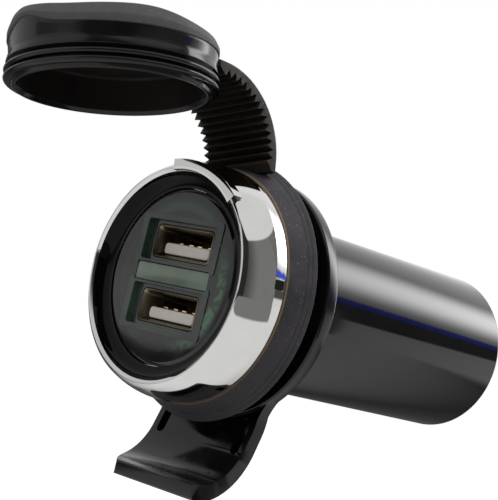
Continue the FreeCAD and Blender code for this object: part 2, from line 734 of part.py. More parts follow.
# Bracket: ring on the tube and a tab that hangs down and hooks forward
def build_bracket():
    body = new_body("mount_bracket")
    bore = "neck_radius + fit_gap / 2"
    turn(body, "bracket_ring", [
        ("ring_front_y", bore),
        ("ring_front_y", "ring_front_radius - ring_edge_round / 2"),
        ("ring_front_y + ring_edge_round / 2", "ring_front_radius", "ring_edge_round * 0.14", 1),
        ("-ring_edge_round", "ring_rear_radius"),
        ("0", "ring_rear_radius - ring_edge_round", "ring_edge_round * 0.29", 1),
        ("0", bore),
    ])
    extrude(body, "hook_tab", "YZ_Plane", [[
        ("0", "tab_top_z"),
        ("0", "tab_straight_z"),
        ("tab_bend_y", "tab_bend_z"),
        ("tip_y", "tip_z", "tab_rear_sag", 1),
        ("tip_y - tip_lean", "tip_z + tip_thickness"),
        ("tab_bend_y - tab_thickness", "tab_bend_z + tab_front_lift", "tab_front_sag", -1),
        ("-tab_thickness", "tab_straight_z"),
        ("-tab_thickness", "tab_top_z"),
    ]], "-tab_half_width", "2 * tab_half_width")
    extrude(body, "hook_flare", "XZ_Plane", [[
        ("-flare_start_x", "flare_start_z"),
        ("-tab_half_width", "flare_end_z", "flare_sag", 1),
        ("tab_half_width", "flare_end_z"),
        ("flare_start_x", "flare_start_z", "flare_sag", 1),
    ]], "-tab_thickness", "tab_thickness - ring_edge_round / 2")
    extrude(body, "bracket_bore", "XZ_Plane", [("circle", "0", "0", bore)],
            "ring_front_y - fit_gap", "ring_width + 2 * fit_gap", cut=True)
    grooves = []
    for side in ("-", ""):
        edges = ["%sgroove_outer_x" % side, "%sgroove_inner_x" % side]
        left, right = edges if side else edges[::-1]
        grooves.append([
            (left, "groove_end_z"),
            (right, "groove_end_z", "(groove_outer_x - groove_inner_x) * 0.49", -1),
            (right, "tab_straight_z"),
            (left, "tab_straight_z"),
        ])
    extrude(body, "hook_grooves", "XZ_Plane", grooves, "groove_floor_y - groove_reach", "groove_reach",
            cut=True)
    corners = [number for number, edge in enumerate(body.Shape.Edges, start=1)
               if abs(abs(edge.CenterOfMass.x) - value_of("tab_half_width")) < 0.01
               and edge.CenterOfMass.z < value_of("tip_z + tip_thickness")
               and edge.Length < value_of("tip_thickness") * 1.2]
    blunt = body.Tip
    rounding = body.newObject("PartDesign::Fillet", "hook_corners")
    rounding.Base = (blunt, ["Edge%d" % number for number in corners])
    bind(rounding, "Radius", "tab_corner_round")
    doc.recompute()
    nodes.append(body)


# Collar: tapered rubber ring between the bezel and the panel, gripped round the bezel's hub
def build_collar():
    body = new_body("rubber_collar")
    turn(body, "collar_ring", [
        ("collar_front_y + fit_gap / 2", "collar_inner_radius"),
        ("collar_front_y + fit_gap / 2", "collar_front_radius"),
        ("collar_rear_y - collar_edge_round", "collar_rear_radius"),
        ("collar_rear_y", "collar_rear_radius - collar_edge_round", "collar_edge_round * 0.25", 1),
        ("collar_rear_y", "neck_bore_radius"),
        ("collar_rear_y - collar_lip", "neck_bore_radius"),
        ("collar_rear_y - collar_lip", "collar_inner_radius"),
    ])
    nodes.append(body)


def cap_placement():
    """Open cap: tilted about X and twisted about Y, as it stands on its bent strap."""
    twist = FreeCAD.Rotation(V(0, 1, 0), -value_of("cap_twist_angle"))
    tilt = FreeCAD.Rotation(V(1, 0, 0), value_of("cap_tilt_angle"))
    place = V(0, value_of("cap_centre_y"), value_of("cap_centre_z"))
    return FreeCAD.Placement(place, twist.multiply(tilt))


# Weather cap: cup with sealing lips below a waisted head, a low dome and a raised grip at the front
def build_cap():
    body = new_body("weather_cap")
    outline = [
        ("0", "cap_cup_depth"),
        ("cap_cup_radius", "cap_cup_depth"),
        ("cap_cup_radius", "cap_rim_round"),
        ("cap_cup_radius + cap_rim_round", "0"),
        ("cap_rim_radius", "0"),
    ]
    for number in range(int(value_of("lip_count"))):
        base = "lip_first_height + (lip_height + lip_groove) * %d" % number
        outline += [
            ("lip_neck_radius", base),
            ("lip_radius - lip_edge_sag", base),
            ("lip_radius - lip_edge_sag", base + " + lip_height", "lip_edge_sag", -1),
            ("lip_neck_radius", base + " + lip_height"),
        ]
    outline += [
        ("cap_neck_radius", "cap_head_start - cap_head_chamfer"),
        ("cap_head_radius", "cap_head_start"),
        ("cap_head_radius", "cap_head_height - cap_top_step", "cap_head_waist", 1),
        ("cap_head_radius - cap_top_step", "cap_head_height", "cap_top_step * 0.25", -1),
        ("0", "cap_head_height + cap_top_rise", "cap_dome_sag", -1),
    ]
    sketch = add_sketch(body, "cap_profile", "XZ_Plane", [outline])
    feature = body.newObject("PartDesign::Revolution", "cap_turn")
    feature.Profile = sketch
    feature.ReferenceAxis = (sketch, ["V_Axis"])
    feature.Angle = 360
    doc.recompute()
    grip = body.newObject("PartDesign::AdditiveEllipsoid", "cap_grip")
    bind(grip, "Radius1", "grip_half_height")
    bind(grip, "Radius2", "grip_half_length")
    bind(grip, "Radius3", "grip_half_width")
    turned = math.radians(value_of("grip_angle"))
    reach = value_of("cap_head_radius - grip_setback")
    grip.Placement = FreeCAD.Placement(
        V(reach * math.sin(turned), -reach * math.cos(turned), value_of("cap_head_height")),
        FreeCAD.Rotation(V(0, 0, 1), value_of("grip_angle")))
    doc.recompute()
    body.Placement = cap_placement()
    nodes.append(body)


# Strap: quarter bend of rubber web with cross ribs on its inner face
def build_strap():
    body = new_body("strap_blank")
    back = "strap_back_radius"
    front = "strap_front_radius"
    extrude(body, "strap_web_root", "YZ_Plane", [[
        (back, "-strap_root_inset"),
        (back, "0"),
        ("0", back, back + " * 0.29289", -1),
        ("-strap_overrun", back),
        ("-strap_overrun", front),
        ("0", front),
        (front, "0", front + " * 0.29289", 1),
        (front, "-strap_root_inset"),
    ]], "-strap_half_width", "2 * strap_half_width")
    rib = extrude(body, "strap_rib", "YZ_Plane", [[
        (front + " + feature_overlap", "-strap_rib_half_pitch"),
        (front + " + feature_overlap", "strap_rib_half_pitch"),
        (front + " - strap_rib_depth", "0"),
    ]], "-strap_half_width", "2 * strap_half_width - strap_rim")
    ribs = body.newObject("PartDesign::PolarPattern", "strap_ribs")
    ribs.Originals = [rib]
    ribs.Axis = (origin_feature(body, "X_Axis"), [""])
    bind(ribs, "Angle", "strap_rib_span")
    bind(ribs, "Occurrences", "strap_rib_count")
    body.Tip = ribs
    twist = FreeCAD.Rotation(V(0, 1, 0), -value_of("cap_twist_angle"))
    place = V(0, value_of("strap_centre_y"), value_of("strap_centre_z"))
    body.Placement = FreeCAD.Placement(place, twist)
    doc.recompute()

    seat = doc.addObject("Part::Cone", "collar_seat")
    bind(seat, "Radius1", "collar_front_radius + strap_gap - collar_slope * seat_overrun")
    bind(seat, "Radius2", "collar_rear_radius + strap_gap + collar_slope * seat_overrun")
    bind(seat, "Height", "collar_length + 2 * seat_overrun")
    seat.Placement = FreeCAD.Placement(V(0, value_of("collar_front_y - seat_overrun"), 0),
                                       FreeCAD.Rotation(V(1, 0, 0), -90))
    head = doc.addObject("Part::Cylinder", "cap_seat")
    bind(head, "Radius", "cap_head_radius + cap_gap")
    bind(head, "Height", "cap_head_height + strap_back_radius")
    head.Placement = cap_placement()
    seats = doc.addObject("Part::MultiFuse", "strap_seats")
    seats.Shapes = [seat, head]
    strap = doc.addObject("Part::Cut", "cap_strap")
    strap.Label = "cap_strap"
    strap.Base = body
    strap.Tool = seats
    doc.recompute()
    nodes.append(strap)


def export_nodes():
    """Check every object, then write each node as a file of its own."""
    doc.recompute()
    for item in doc.Objects:
        if "Invalid" in item.State or "Error" in item.State:
            raise RuntimeError("%s failed: %s" % (item.Name, item.State))
    os.makedirs("parts", exist_ok=True)
    for item in nodes:
        shape = item.Shape
        if shape.isNull() or not shape.isValid():
            raise RuntimeError("%s has no valid shape" % item.Label)
        limits = shape.optimalBoundingBox()
        print("%-22s %9.1f mm3  solids %d  x %.2f %.2f  y %.2f %.2f  z %.2f %.2f" % (
            item.Label, shape.Volume, len(shape.Solids), limits.XMin, limits.XMax,
            limits.YMin, limits.YMax, limits.ZMin, limits.ZMax))
        shape.exportStep("parts/%s.step" % item.Label)


build_bezel()
build_insert()
build_port("upper", "port_offset + port_pitch / 2")
build_port("lower", "port_offset - port_pitch / 2")
build_carrier()
build_board()
build_tube()
build_bracket()
build_collar()
build_cap()
build_strap()
export_nodes()
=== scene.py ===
import math

import bmesh
import bpy
from mathutils import Matrix, Vector


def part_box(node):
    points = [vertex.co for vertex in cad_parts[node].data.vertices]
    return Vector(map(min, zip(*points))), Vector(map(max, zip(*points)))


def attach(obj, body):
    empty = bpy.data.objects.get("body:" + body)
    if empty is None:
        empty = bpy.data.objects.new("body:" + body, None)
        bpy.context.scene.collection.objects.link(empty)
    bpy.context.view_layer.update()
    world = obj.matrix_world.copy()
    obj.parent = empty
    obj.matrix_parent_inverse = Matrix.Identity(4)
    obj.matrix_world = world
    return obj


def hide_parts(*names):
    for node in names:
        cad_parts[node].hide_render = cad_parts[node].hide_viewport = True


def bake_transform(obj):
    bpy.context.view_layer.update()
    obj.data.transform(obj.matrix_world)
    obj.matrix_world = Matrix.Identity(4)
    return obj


# Looks of the dual USB socket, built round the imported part. Lengths are millimetres until they reach
# a mesh. The socket's axis is Y, the sockets face -Y, and +Z points towards the strap.
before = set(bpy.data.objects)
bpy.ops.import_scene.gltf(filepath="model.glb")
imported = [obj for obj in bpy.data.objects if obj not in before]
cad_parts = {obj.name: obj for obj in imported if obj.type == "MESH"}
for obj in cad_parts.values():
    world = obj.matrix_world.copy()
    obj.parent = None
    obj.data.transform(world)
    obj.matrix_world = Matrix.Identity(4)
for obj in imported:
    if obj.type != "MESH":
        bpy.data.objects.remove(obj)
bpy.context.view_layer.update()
bpy.ops.object.select_all(action="DESELECT")

MM = 0.001


def corners(node):
    """Lowest and highest corner of a CAD node, in millimetres."""
    low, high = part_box(node)
    return low / MM, high / MM


def reach(node):
    """Largest distance of a CAD node from the socket's axis, in millimetres."""
    return max(math.hypot(v.co.x, v.co.z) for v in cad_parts[node].data.vertices) / MM


# Driving sizes read from the part
bezel_low, bezel_high = corners("bezel")
insert_low, insert_high = corners("port_face")
light_low, light_high = corners("light_window")
tube_low, tube_high = corners("body_tube")
collar_low, collar_high = corners("rubber_collar")
bezel_radius = reach("bezel")
insert_radius = reach("port_face")
tube_radius = reach("body_tube")
collar_radius = reach("rubber_collar")
port_names = ("upper", "lower")

# Fits and steps that the shown pieces share with the part
fit = 0.1
arc_height = 0.6
bezel_length = 8.1
hub_wall = 2.4
neck_radius = tube_radius - 0.25
tube_wall = 1.7
mouth_y = bezel_low.y + arc_height
seam_y = mouth_y + bezel_length
mouth_radius = insert_radius + 2.6
ring_thickness = 3.0
brought_forward = 0.8
face_y = insert_low.y - brought_forward
weld = 0.002 * MM


def softened(outline, closed=True, steps=4):
    """Outline whose corners (across, along, round) are arcs of that radius."""
    most_of_side = 0.48
    points = []
    last = len(outline) - 1
    for number, corner in enumerate(outline):
        here = Vector(corner[:2])
        if len(corner) == 2 or (not closed and number in (0, last)):
            points.append(here)
            continue
        before = Vector(outline[number - 1][:2]) - here
        after = Vector(outline[(number + 1) % len(outline)][:2]) - here
        half = before.angle(after) / 2
        length = min(corner[2] / math.tan(half), most_of_side * before.length, most_of_side * after.length)
        middle = (before.normalized() + after.normalized()).normalized() * (length / math.cos(half))
        start = before.normalized() * length - middle
        end = after.normalized() * length - middle
        first = math.atan2(start.y, start.x)
        turn = (math.atan2(end.y, end.x) - first + math.pi) % math.tau - math.pi
        for step in range(steps + 1):
            angle = first + turn * step / steps
            points.append(here + middle + Vector((math.cos(angle), math.sin(angle))) * start.length)
    return points


def bow(start, end, sag, steps=8):
    """Points between start and end of a curve that stands off its chord by sag, to its left."""
    start = Vector(start[:2])
    chord = Vector(end[:2]) - start
    left = Vector((-chord.y, chord.x)).normalized()
    shares = [step / steps for step in range(1, steps)]
    return [tuple(start + chord * share + left * (4 * sag * share * (1 - share))) for share in shares]


def draw_wire(name, points, closed=True):
    """New piece in edit mode that is a chain of edges through points in millimetres."""
    bpy.ops.mesh.primitive_plane_add(size=MM)
    piece = bpy.context.object
    piece.name = piece.data.name = name
    bpy.ops.object.mode_set(mode="EDIT")
    bpy.ops.mesh.select_mode(type="VERT")
    bpy.ops.mesh.select_all(action="SELECT")
    bpy.ops.mesh.merge(type="CENTER")
    bpy.ops.transform.translate(value=points[0] * MM)
    chain = points[1:] + points[:1] if closed else points[1:]
    for before, after in zip(points, chain):
        bpy.ops.mesh.extrude_vertices_move(TRANSFORM_OT_translate={"value": (after - before) * MM})
    bpy.ops.mesh.select_all(action="SELECT")
    bpy.ops.mesh.remove_doubles(threshold=weld)
    return piece


def close_mesh():
    """Merge, cap and turn outwards the mesh that is being edited, then leave edit mode."""
    bpy.ops.mesh.select_all(action="SELECT")
    bpy.ops.mesh.remove_doubles(threshold=weld)
    bpy.ops.mesh.fill_holes(sides=0)
    bpy.ops.mesh.select_all(action="SELECT")
    bpy.ops.mesh.normals_make_consistent(inside=False)
    bpy.ops.object.mode_set(mode="OBJECT")


def lathe(name, outline, axis="Y", steps=180, start=0.0, sweep=360.0, closed=True):
    """Turned piece: an outline of (radius, along) points carried round the axis."""
    turn = math.radians(start)
    if axis == "Y":
        spots = [Vector((p[0] * math.sin(turn), p[1], p[0] * math.cos(turn))) for p in outline]
    else:
        spots = [Vector((p[0] * math.cos(turn), p[0] * math.sin(turn), p[1])) for p in outline]
    piece = draw_wire(name, spots, closed)
    direction = (0, 1, 0) if axis == "Y" else (0, 0, 1)
    bpy.ops.mesh.spin(steps=steps, angle=-math.radians(sweep), center=(0, 0, 0), axis=direction)
    close_mesh()
    return piece


def pick_faces(piece, rule):
    """Select, in edit mode, only the faces for which rule(centre in mm, normal) holds."""
    bpy.ops.mesh.select_mode(type="FACE")
    bpy.ops.mesh.select_all(action="DESELECT")
    mesh = bmesh.from_edit_mesh(piece.data)
    for face in mesh.faces:
        face.select_set(bool(rule(face.calc_center_median() / MM, face.normal)))
    bmesh.update_edit_mesh(piece.data)


def shift(piece, rule):
    """Move each vertex to the place in mm that rule gives for its own."""
    for vertex in piece.data.vertices:
        vertex.co = rule(vertex.co / MM) * MM
    piece.data.update()


def rounded_block(name, centre, half_size, rounding, length):
    """Block that runs from centre along +Y, with its four long edges rounded."""
    across, up = half_size
    corner_steps = 5
    bpy.ops.mesh.primitive_plane_add(size=2 * MM)
    piece = bpy.context.object
    piece.name = piece.data.name = name
    piece.data.transform(Matrix.Rotation(math.pi / 2, 4, "X"))
    shift(piece, lambda p: Vector((centre[0] + p.x * across, centre[1], centre[2] + p.z * up)))
    bpy.ops.object.mode_set(mode="EDIT")
    bpy.ops.mesh.select_mode(type="VERT")
    bpy.ops.mesh.select_all(action="SELECT")
    bpy.ops.mesh.bevel(offset=rounding * MM, segments=corner_steps, affect="VERTICES")
    bpy.ops.mesh.select_all(action="SELECT")
    bpy.ops.mesh.extrude_region_move(TRANSFORM_OT_translate={"value": (0, length * MM, 0)})
    bpy.ops.mesh.select_all(action="SELECT")
    bpy.ops.mesh.normals_make_consistent(inside=False)
    bpy.ops.object.mode_set(mode="OBJECT")
    return piece


def extruded(name, outline, start, length, axis):
    """Closed solid from an outline: (y, z) points carried along X, or (x, z) points carried along Y."""
    if axis == "X":
        spots = [Vector((start, p[0], p[1])) for p in outline]
        path = Vector((length, 0, 0))
    else:
        spots = [Vector((p[0], start, p[1])) for p in outline]
        path = Vector((0, length, 0))
    piece = draw_wire(name, spots)
    bpy.ops.mesh.edge_face_add()
    bpy.ops.mesh.extrude_region_move(TRANSFORM_OT_translate={"value": path * MM})
    close_mesh()
    return piece


def apply_modifiers(piece):
    """Make a piece's modifiers part of its mesh."""
    bpy.ops.object.select_all(action="DESELECT")
    piece.select_set(True)
    bpy.context.view_layer.objects.active = piece
    for modifier in list(piece.modifiers):
        bpy.ops.object.modifier_apply(modifier=modifier.name)


def combine(piece, other, operation="DIFFERENCE"):
    """Cut the other solid from the piece, or join it on, and remove the other solid."""
    modifier = piece.modifiers.new("combine", "BOOLEAN")
    modifier.operation = operation
    modifier.solver = "EXACT"
    modifier.object = other
    apply_modifiers(piece)
    bpy.data.objects.remove(other)


def bevel_edges(piece, width, segments=3, angle=35.0):
    """Round the edges of a piece that are sharper than angle degrees."""
    modifier = piece.modifiers.new("edges", "BEVEL")
    modifier.width = width * MM
    modifier.segments = segments
    modifier.limit_method = "ANGLE"
    modifier.angle_limit = math.radians(angle)
    apply_modifiers(piece)


def add(tree, kind, values=None, **settings):
    """New shader node with its settings, and each input given a number or linked to a socket."""
    made = tree.nodes.new("ShaderNode" + kind)
    for key, value in settings.items():
        setattr(made, key, value)
    for key, value in (values or {}).items():
        if isinstance(value, bpy.types.NodeSocket):
            tree.links.new(value, made.inputs[key])
        else:
            made.inputs[key].default_value = value
    return made


def maths(tree, operation, first, second=0.0):
    """Result of a sum on one or two values."""
    return add(tree, "Math", {0: first, 1: second}, operation=operation).outputs[0]


def ramp(tree, value, start, end, low=0.0, high=1.0):
    """Value carried smoothly from low at start to high at end."""
    return add(tree, "MapRange", {"Value": value, "From Min": start, "From Max": end, "To Min": low,
                                  "To Max": high}, interpolation_type="SMOOTHSTEP").outputs[0]


def blend_colour(tree, factor, first, second):
    """Colour that goes from first to second with the factor."""
    mix = add(tree, "Mix", {0: factor}, data_type="RGBA")
    for socket, colour in ((mix.inputs[6], first), (mix.inputs[7], second)):
        if isinstance(colour, bpy.types.NodeSocket):
            tree.links.new(colour, socket)
        else:
            socket.default_value = (*colour, 1)
    return mix.outputs[2]


def towards(tree, place, direction, plane=(1, 1, 0)):
    """How far a place or direction, laid in a plane, lies towards a direction, from -1 to 1."""
    flat = add(tree, "VectorMath", {0: place, 1: Vector(plane)}, operation="MULTIPLY")
    unit = add(tree, "VectorMath", {0: flat.outputs[0]}, operation="NORMALIZE")
    return add(tree, "VectorMath", {0: unit.outputs[0], 1: Vector(direction)},
               operation="DOT_PRODUCT").outputs["Value"]


def new_group(name, inputs, outputs):
    """Empty shader group with number inputs and number outputs, and its two end nodes."""
    tree = bpy.data.node_groups.new(name, "ShaderNodeTree")
    for label, value in inputs.items():
        socket = tree.interface.new_socket(name=label, in_out="INPUT", socket_type="NodeSocketFloat")
        socket.default_value = value
    for label in outputs:
        tree.interface.new_socket(name=label, in_out="OUTPUT", socket_type="NodeSocketFloat")
    return tree, tree.nodes.new("NodeGroupInput"), tree.nodes.new("NodeGroupOutput")


def make_grain_group():
    """Fine moulded grain as a height, and a slow mottle over the surface."""
    tree, given, result = new_group("moulded_grain", {"Scale": 3000.0, "Mottle Scale": 150.0},
                                    ("Height", "Mottle"))
    place = add(tree, "TexCoord").outputs["Object"]
    fine = add(tree, "TexNoise", {"Vector": place, "Scale": given.outputs["Scale"], "Detail": 3.0,
                                  "Roughness": 0.6})
    slow = add(tree, "TexNoise", {"Vector": place, "Scale": given.outputs["Mottle Scale"], "Detail": 4.0})
    tree.links.new(fine.outputs[0], result.inputs["Height"])
    tree.links.new(ramp(tree, slow.outputs[0], 0.3, 0.7), result.inputs["Mottle"])
    return tree


def make_speck_group():
    """Small scattered specks, as dust or pale grains in rubber."""
    tree, given, result = new_group("pale_specks", {"Scale": 900.0, "Size": 0.18, "Share": 0.3}, ("Mask",))
    place = add(tree, "TexCoord").outputs["Object"]
    cells = add(tree, "TexVoronoi", {"Vector": place, "Scale": given.outputs["Scale"]})
    spot = ramp(tree, cells.outputs["Distance"], given.outputs["Size"], 0.0)
    chance = add(tree, "SeparateColor", {0: cells.outputs["Color"]}).outputs[0]
    chosen = maths(tree, "LESS_THAN", chance, given.outputs["Share"])
    tree.links.new(maths(tree, "MULTIPLY", spot, chosen), result.inputs["Mask"])
    return tree


def make_scuff_group():
    """Thin faint rubs, longer one way than the other."""
    tree, given, result = new_group("faint_scuffs", {"Scale": 300.0, "Share": 0.3}, ("Mask",))
    place = add(tree, "TexCoord").outputs["Object"]
    drawn_out = add(tree, "Mapping", {"Vector": place, "Rotation": (0.5, 0.7, 0.3),
                                      "Scale": (1.0, 0.08, 1.0)}).outputs[0]
    noise = add(tree, "TexNoise", {"Vector": drawn_out, "Scale": given.outputs["Scale"], "Detail": 2.0})
    edge = maths(tree, "SUBTRACT", 1.0, given.outputs["Share"])
    tree.links.new(ramp(tree, noise.outputs[0], edge, maths(tree, "ADD", edge, 0.08)),
                   result.inputs["Mask"])
    return tree


def make_band_group():
    """Band between two distances along the socket's axis, and its distance from the axis."""
    tree, given, result = new_group("place_on_axis", {"Low": 0.0, "High": 1.0, "Soft": 0.0002},
                                    ("Band", "Radius"))
    place = add(tree, "TexCoord").outputs["Object"]
    split = add(tree, "SeparateXYZ", {0: place})
    along = split.outputs["Y"]
    begin = ramp(tree, along, maths(tree, "SUBTRACT", given.outputs["Low"], given.outputs["Soft"]),
                 given.outputs["Low"])
    end = ramp(tree, along, given.outputs["High"],
               maths(tree, "ADD", given.outputs["High"], given.outputs["Soft"]), 1.0, 0.0)
    tree.links.new(maths(tree, "MULTIPLY", begin, end), result.inputs["Band"])
    flat = add(tree, "CombineXYZ", {"X": split.outputs["X"], "Z": split.outputs["Z"]})
    length = add(tree, "VectorMath", {0: flat.outputs[0]}, operation="LENGTH")
    tree.links.new(length.outputs["Value"], result.inputs["Radius"])
    return tree


grain_group = make_grain_group()
speck_group = make_speck_group()
scuff_group = make_scuff_group()
band_group = make_band_group()


def new_material(name, constants):
    """Material with a Principled shader whose plain sockets are set at once."""
    material = bpy.data.materials.new(name)
    material.use_nodes = True
    shader = material.node_tree.nodes["Principled BSDF"]
    for label, value in constants.items():
        shader.inputs[label].default_value = value
    return material, material.node_tree, shader


def place_group(tree, group, values):
    """A shared effect in a material, with its own numbers."""
    return add(tree, "Group", values, node_tree=group)


def surface(tree, shader, colours, roughness, scale, relief, mottle_scale=150.0):
    """Grain, mottled colour and uneven gloss that every finish has; gives the colour and the roughness."""
    grain = place_group(tree, grain_group, {"Scale": scale, "Mottle Scale": mottle_scale})
    colour = blend_colour(tree, grain.outputs["Mottle"], colours[0], colours[1])
    gloss = ramp(tree, grain.outputs["Mottle"], 0.0, 1.0, roughness[0], roughness[1])
    tree.links.new(colour, shader.inputs["Base Color"])
    tree.links.new(gloss, shader.inputs["Roughness"])
    bump = add(tree, "Bump", {"Height": grain.outputs["Height"], "Distance": relief * MM, "Strength": 1.0})
    tree.links.new(bump.outputs[0], shader.inputs["Normal"])
    return colour, gloss


def plain_finish(name, constants, colours, roughness, scale, relief, scuffs=0.0):
    """Moulded or plated finish: grain, mottle and faint rubs that dull the gloss."""
    dulling = 0.15
    material, tree, shader = new_material(name, constants)
    gloss = surface(tree, shader, colours, roughness, scale, relief)[1]
    if scuffs:
        rubs = place_group(tree, scuff_group, {"Scale": 400.0, "Share": scuffs}).outputs["Mask"]
        dulled = maths(tree, "ADD", gloss, maths(tree, "MULTIPLY", rubs, dulling))
        tree.links.new(dulled, shader.inputs["Roughness"])
    return material


def rubber_finish(name="black_rubber", dark=(0.022, 0.021, 0.023), light=(0.032, 0.030, 0.033)):
    """Matte rubber with pale grains."""
    grain_colour = (0.16, 0.155, 0.15)
    material, tree, shader = new_material(name, {"Specular IOR Level": 0.35})
    colour = surface(tree, shader, (dark, light), (0.55, 0.7), 2600.0, 0.045, 220.0)[0]
    specks = place_group(tree, speck_group, {"Scale": 1900.0, "Size": 0.3, "Share": 0.45}).outputs["Mask"]
    dusty = maths(tree, "MULTIPLY", specks, 0.8)
    tree.links.new(blend_colour(tree, dusty, colour, grain_colour), shader.inputs["Base Color"])
    return material


def wear(material, mask, strength, bare_colour):
    """Lay another colour over a material's own where the mask is high."""
    tree = material.node_tree
    base = tree.nodes["Principled BSDF"].inputs["Base Color"]
    share = maths(tree, "MULTIPLY", mask, strength)
    tree.links.new(blend_colour(tree, share, base.links[0].from_socket, bare_colour), base)


def collar_finish():
    """The collar's rubber, with a brown line of bare gate edge along its front."""
    line_width = 0.14
    material = rubber_finish("collar_rubber", (0.030, 0.028, 0.031), (0.050, 0.046, 0.051))
    start = (seam_y + 0.1) * MM
    line = place_group(material.node_tree, band_group,
                       {"Low": start, "High": start + line_width * MM, "Soft": 0.1 * MM})
    wear(material, line.outputs["Band"], 0.7, (0.22, 0.14, 0.075))
    return material


def strap_finish():
    """The strap's rubber, browned along the crests of its ribs."""
    material = rubber_finish("strap_rubber", (0.012, 0.010, 0.009), (0.018, 0.015, 0.013))
    tree = material.node_tree
    rib_height = add(tree, "Attribute", attribute_name="rib_height").outputs["Fac"]
    wear(material, ramp(tree, rib_height, 0.72, 0.9), 0.7, (0.07, 0.036, 0.016))
    return material


def gloss_rubber_finish():
    """Smooth band and lips of the cap, where the mould was polished."""
    return plain_finish("polished_rubber", {"Specular IOR Level": 0.3},
                        ((0.004, 0.004, 0.004), (0.007, 0.007, 0.0075)), (0.12, 0.2), 1500.0, 0.003, 0.4)


def cup_finish():
    """Inside of the cap, with a brown bloom."""
    return plain_finish("cup_rubber", {"Specular IOR Level": 0.25},
                        ((0.006, 0.004, 0.003), (0.012, 0.008, 0.006)), (0.55, 0.7), 2000.0, 0.02)


def tube_finish():
    """Satin black plastic of the tube."""
    return plain_finish("tube_plastic", {"Specular IOR Level": 0.5},
                        ((0.0025, 0.0025, 0.003), (0.004, 0.004, 0.0045)), (0.05, 0.075), 1800.0, 0.0004)


def bowl_dark_reflection_finish():
    """Bowl inside the bezel's lip, near-black and smooth as glass: a painted dark reflection in place of the
    chrome, which there mirrors only dark surroundings.
    """
    return plain_finish("bowl_painted_dark_reflection", {"Specular IOR Level": 0.12},
                        ((0.001, 0.0015, 0.0013), (0.002, 0.003, 0.0025)), (0.03, 0.06), 900.0, 0.0004, 0.2)


def window_edge_glow_finish():
    """Cut edge of the smoky plate, painted pale green: a painted glow of light caught in the clear edge."""
    return plain_finish("cut_edge_painted_glow", {}, ((0.22, 0.28, 0.23), (0.40, 0.46, 0.40)), (0.3, 0.4), 1500.0,
                        0.002, 0.3)


def frame_finish():
    """Raised frames and ledges of the windows, paler where the plate is thin."""
    return plain_finish("thin_smoked_frame", {}, ((0.014, 0.019, 0.016), (0.045, 0.056, 0.047)), (0.08, 0.16),
                        700.0, 0.002, 0.3)


def window_wall_finish():
    """Inner walls of the plate's windows, deep green."""
    return plain_finish("deep_green_wall", {}, ((0.014, 0.032, 0.022), (0.05, 0.10, 0.07)), (0.08, 0.16),
                        1200.0, 0.002, 0.3)


def smoky_finish():
    """Smoked plastic of the insert: dark rim, smoky middle, green where light comes in at one side."""
    black_rim = (0.001, 0.002, 0.0015)
    lit_green = (0.06, 0.14, 0.075)
    ring_start = 10.4 * MM
    ring_full = 11.2 * MM
    rim_start = 11.9 * MM
    rim_full = 12.2 * MM
    ring_end = 13.2 * MM
    material, tree, shader = new_material("smoked_plastic", {"Specular IOR Level": 0.5})
    colour = surface(tree, shader, ((0.010, 0.012, 0.010), (0.018, 0.020, 0.018)), (0.06, 0.12), 1200.0,
                     0.001)[0]
    place = add(tree, "TexCoord").outputs["Object"]
    radius = place_group(tree, band_group, {}).outputs["Radius"]
    lower_right = towards(tree, place, (0.92, 0.0, -0.39), (1, 0, 1))
    top = towards(tree, place, (0.1, 0.0, 0.99), (1, 0, 1))
    rim = ramp(tree, radius, rim_start, rim_full)
    dark = blend_colour(tree, maths(tree, "MULTIPLY", rim, 0.85), colour, black_rim)
    ring = maths(tree, "MULTIPLY", ramp(tree, radius, ring_start, ring_full),
                 ramp(tree, radius, rim_start, ring_end, 1.0, 0.0))
    ripple = add(tree, "TexNoise", {"Vector": place, "Scale": 420.0, "Detail": 3.0, "Distortion": 1.5})
    streaks = ramp(tree, ripple.outputs[0], 0.35, 0.62, 0.15, 1.0)
    low_glow = maths(tree, "MULTIPLY", ring, ramp(tree, lower_right, 0.55, 0.95))
    crescent = maths(tree, "MULTIPLY", low_glow, streaks)
    top_glow = maths(tree, "MULTIPLY", ring, ramp(tree, top, 0.6, 0.95))
    lit = maths(tree, "MAXIMUM", crescent, maths(tree, "MULTIPLY", top_glow, 0.3))
    tree.links.new(blend_colour(tree, lit, dark, lit_green), shader.inputs["Base Color"])
    return material


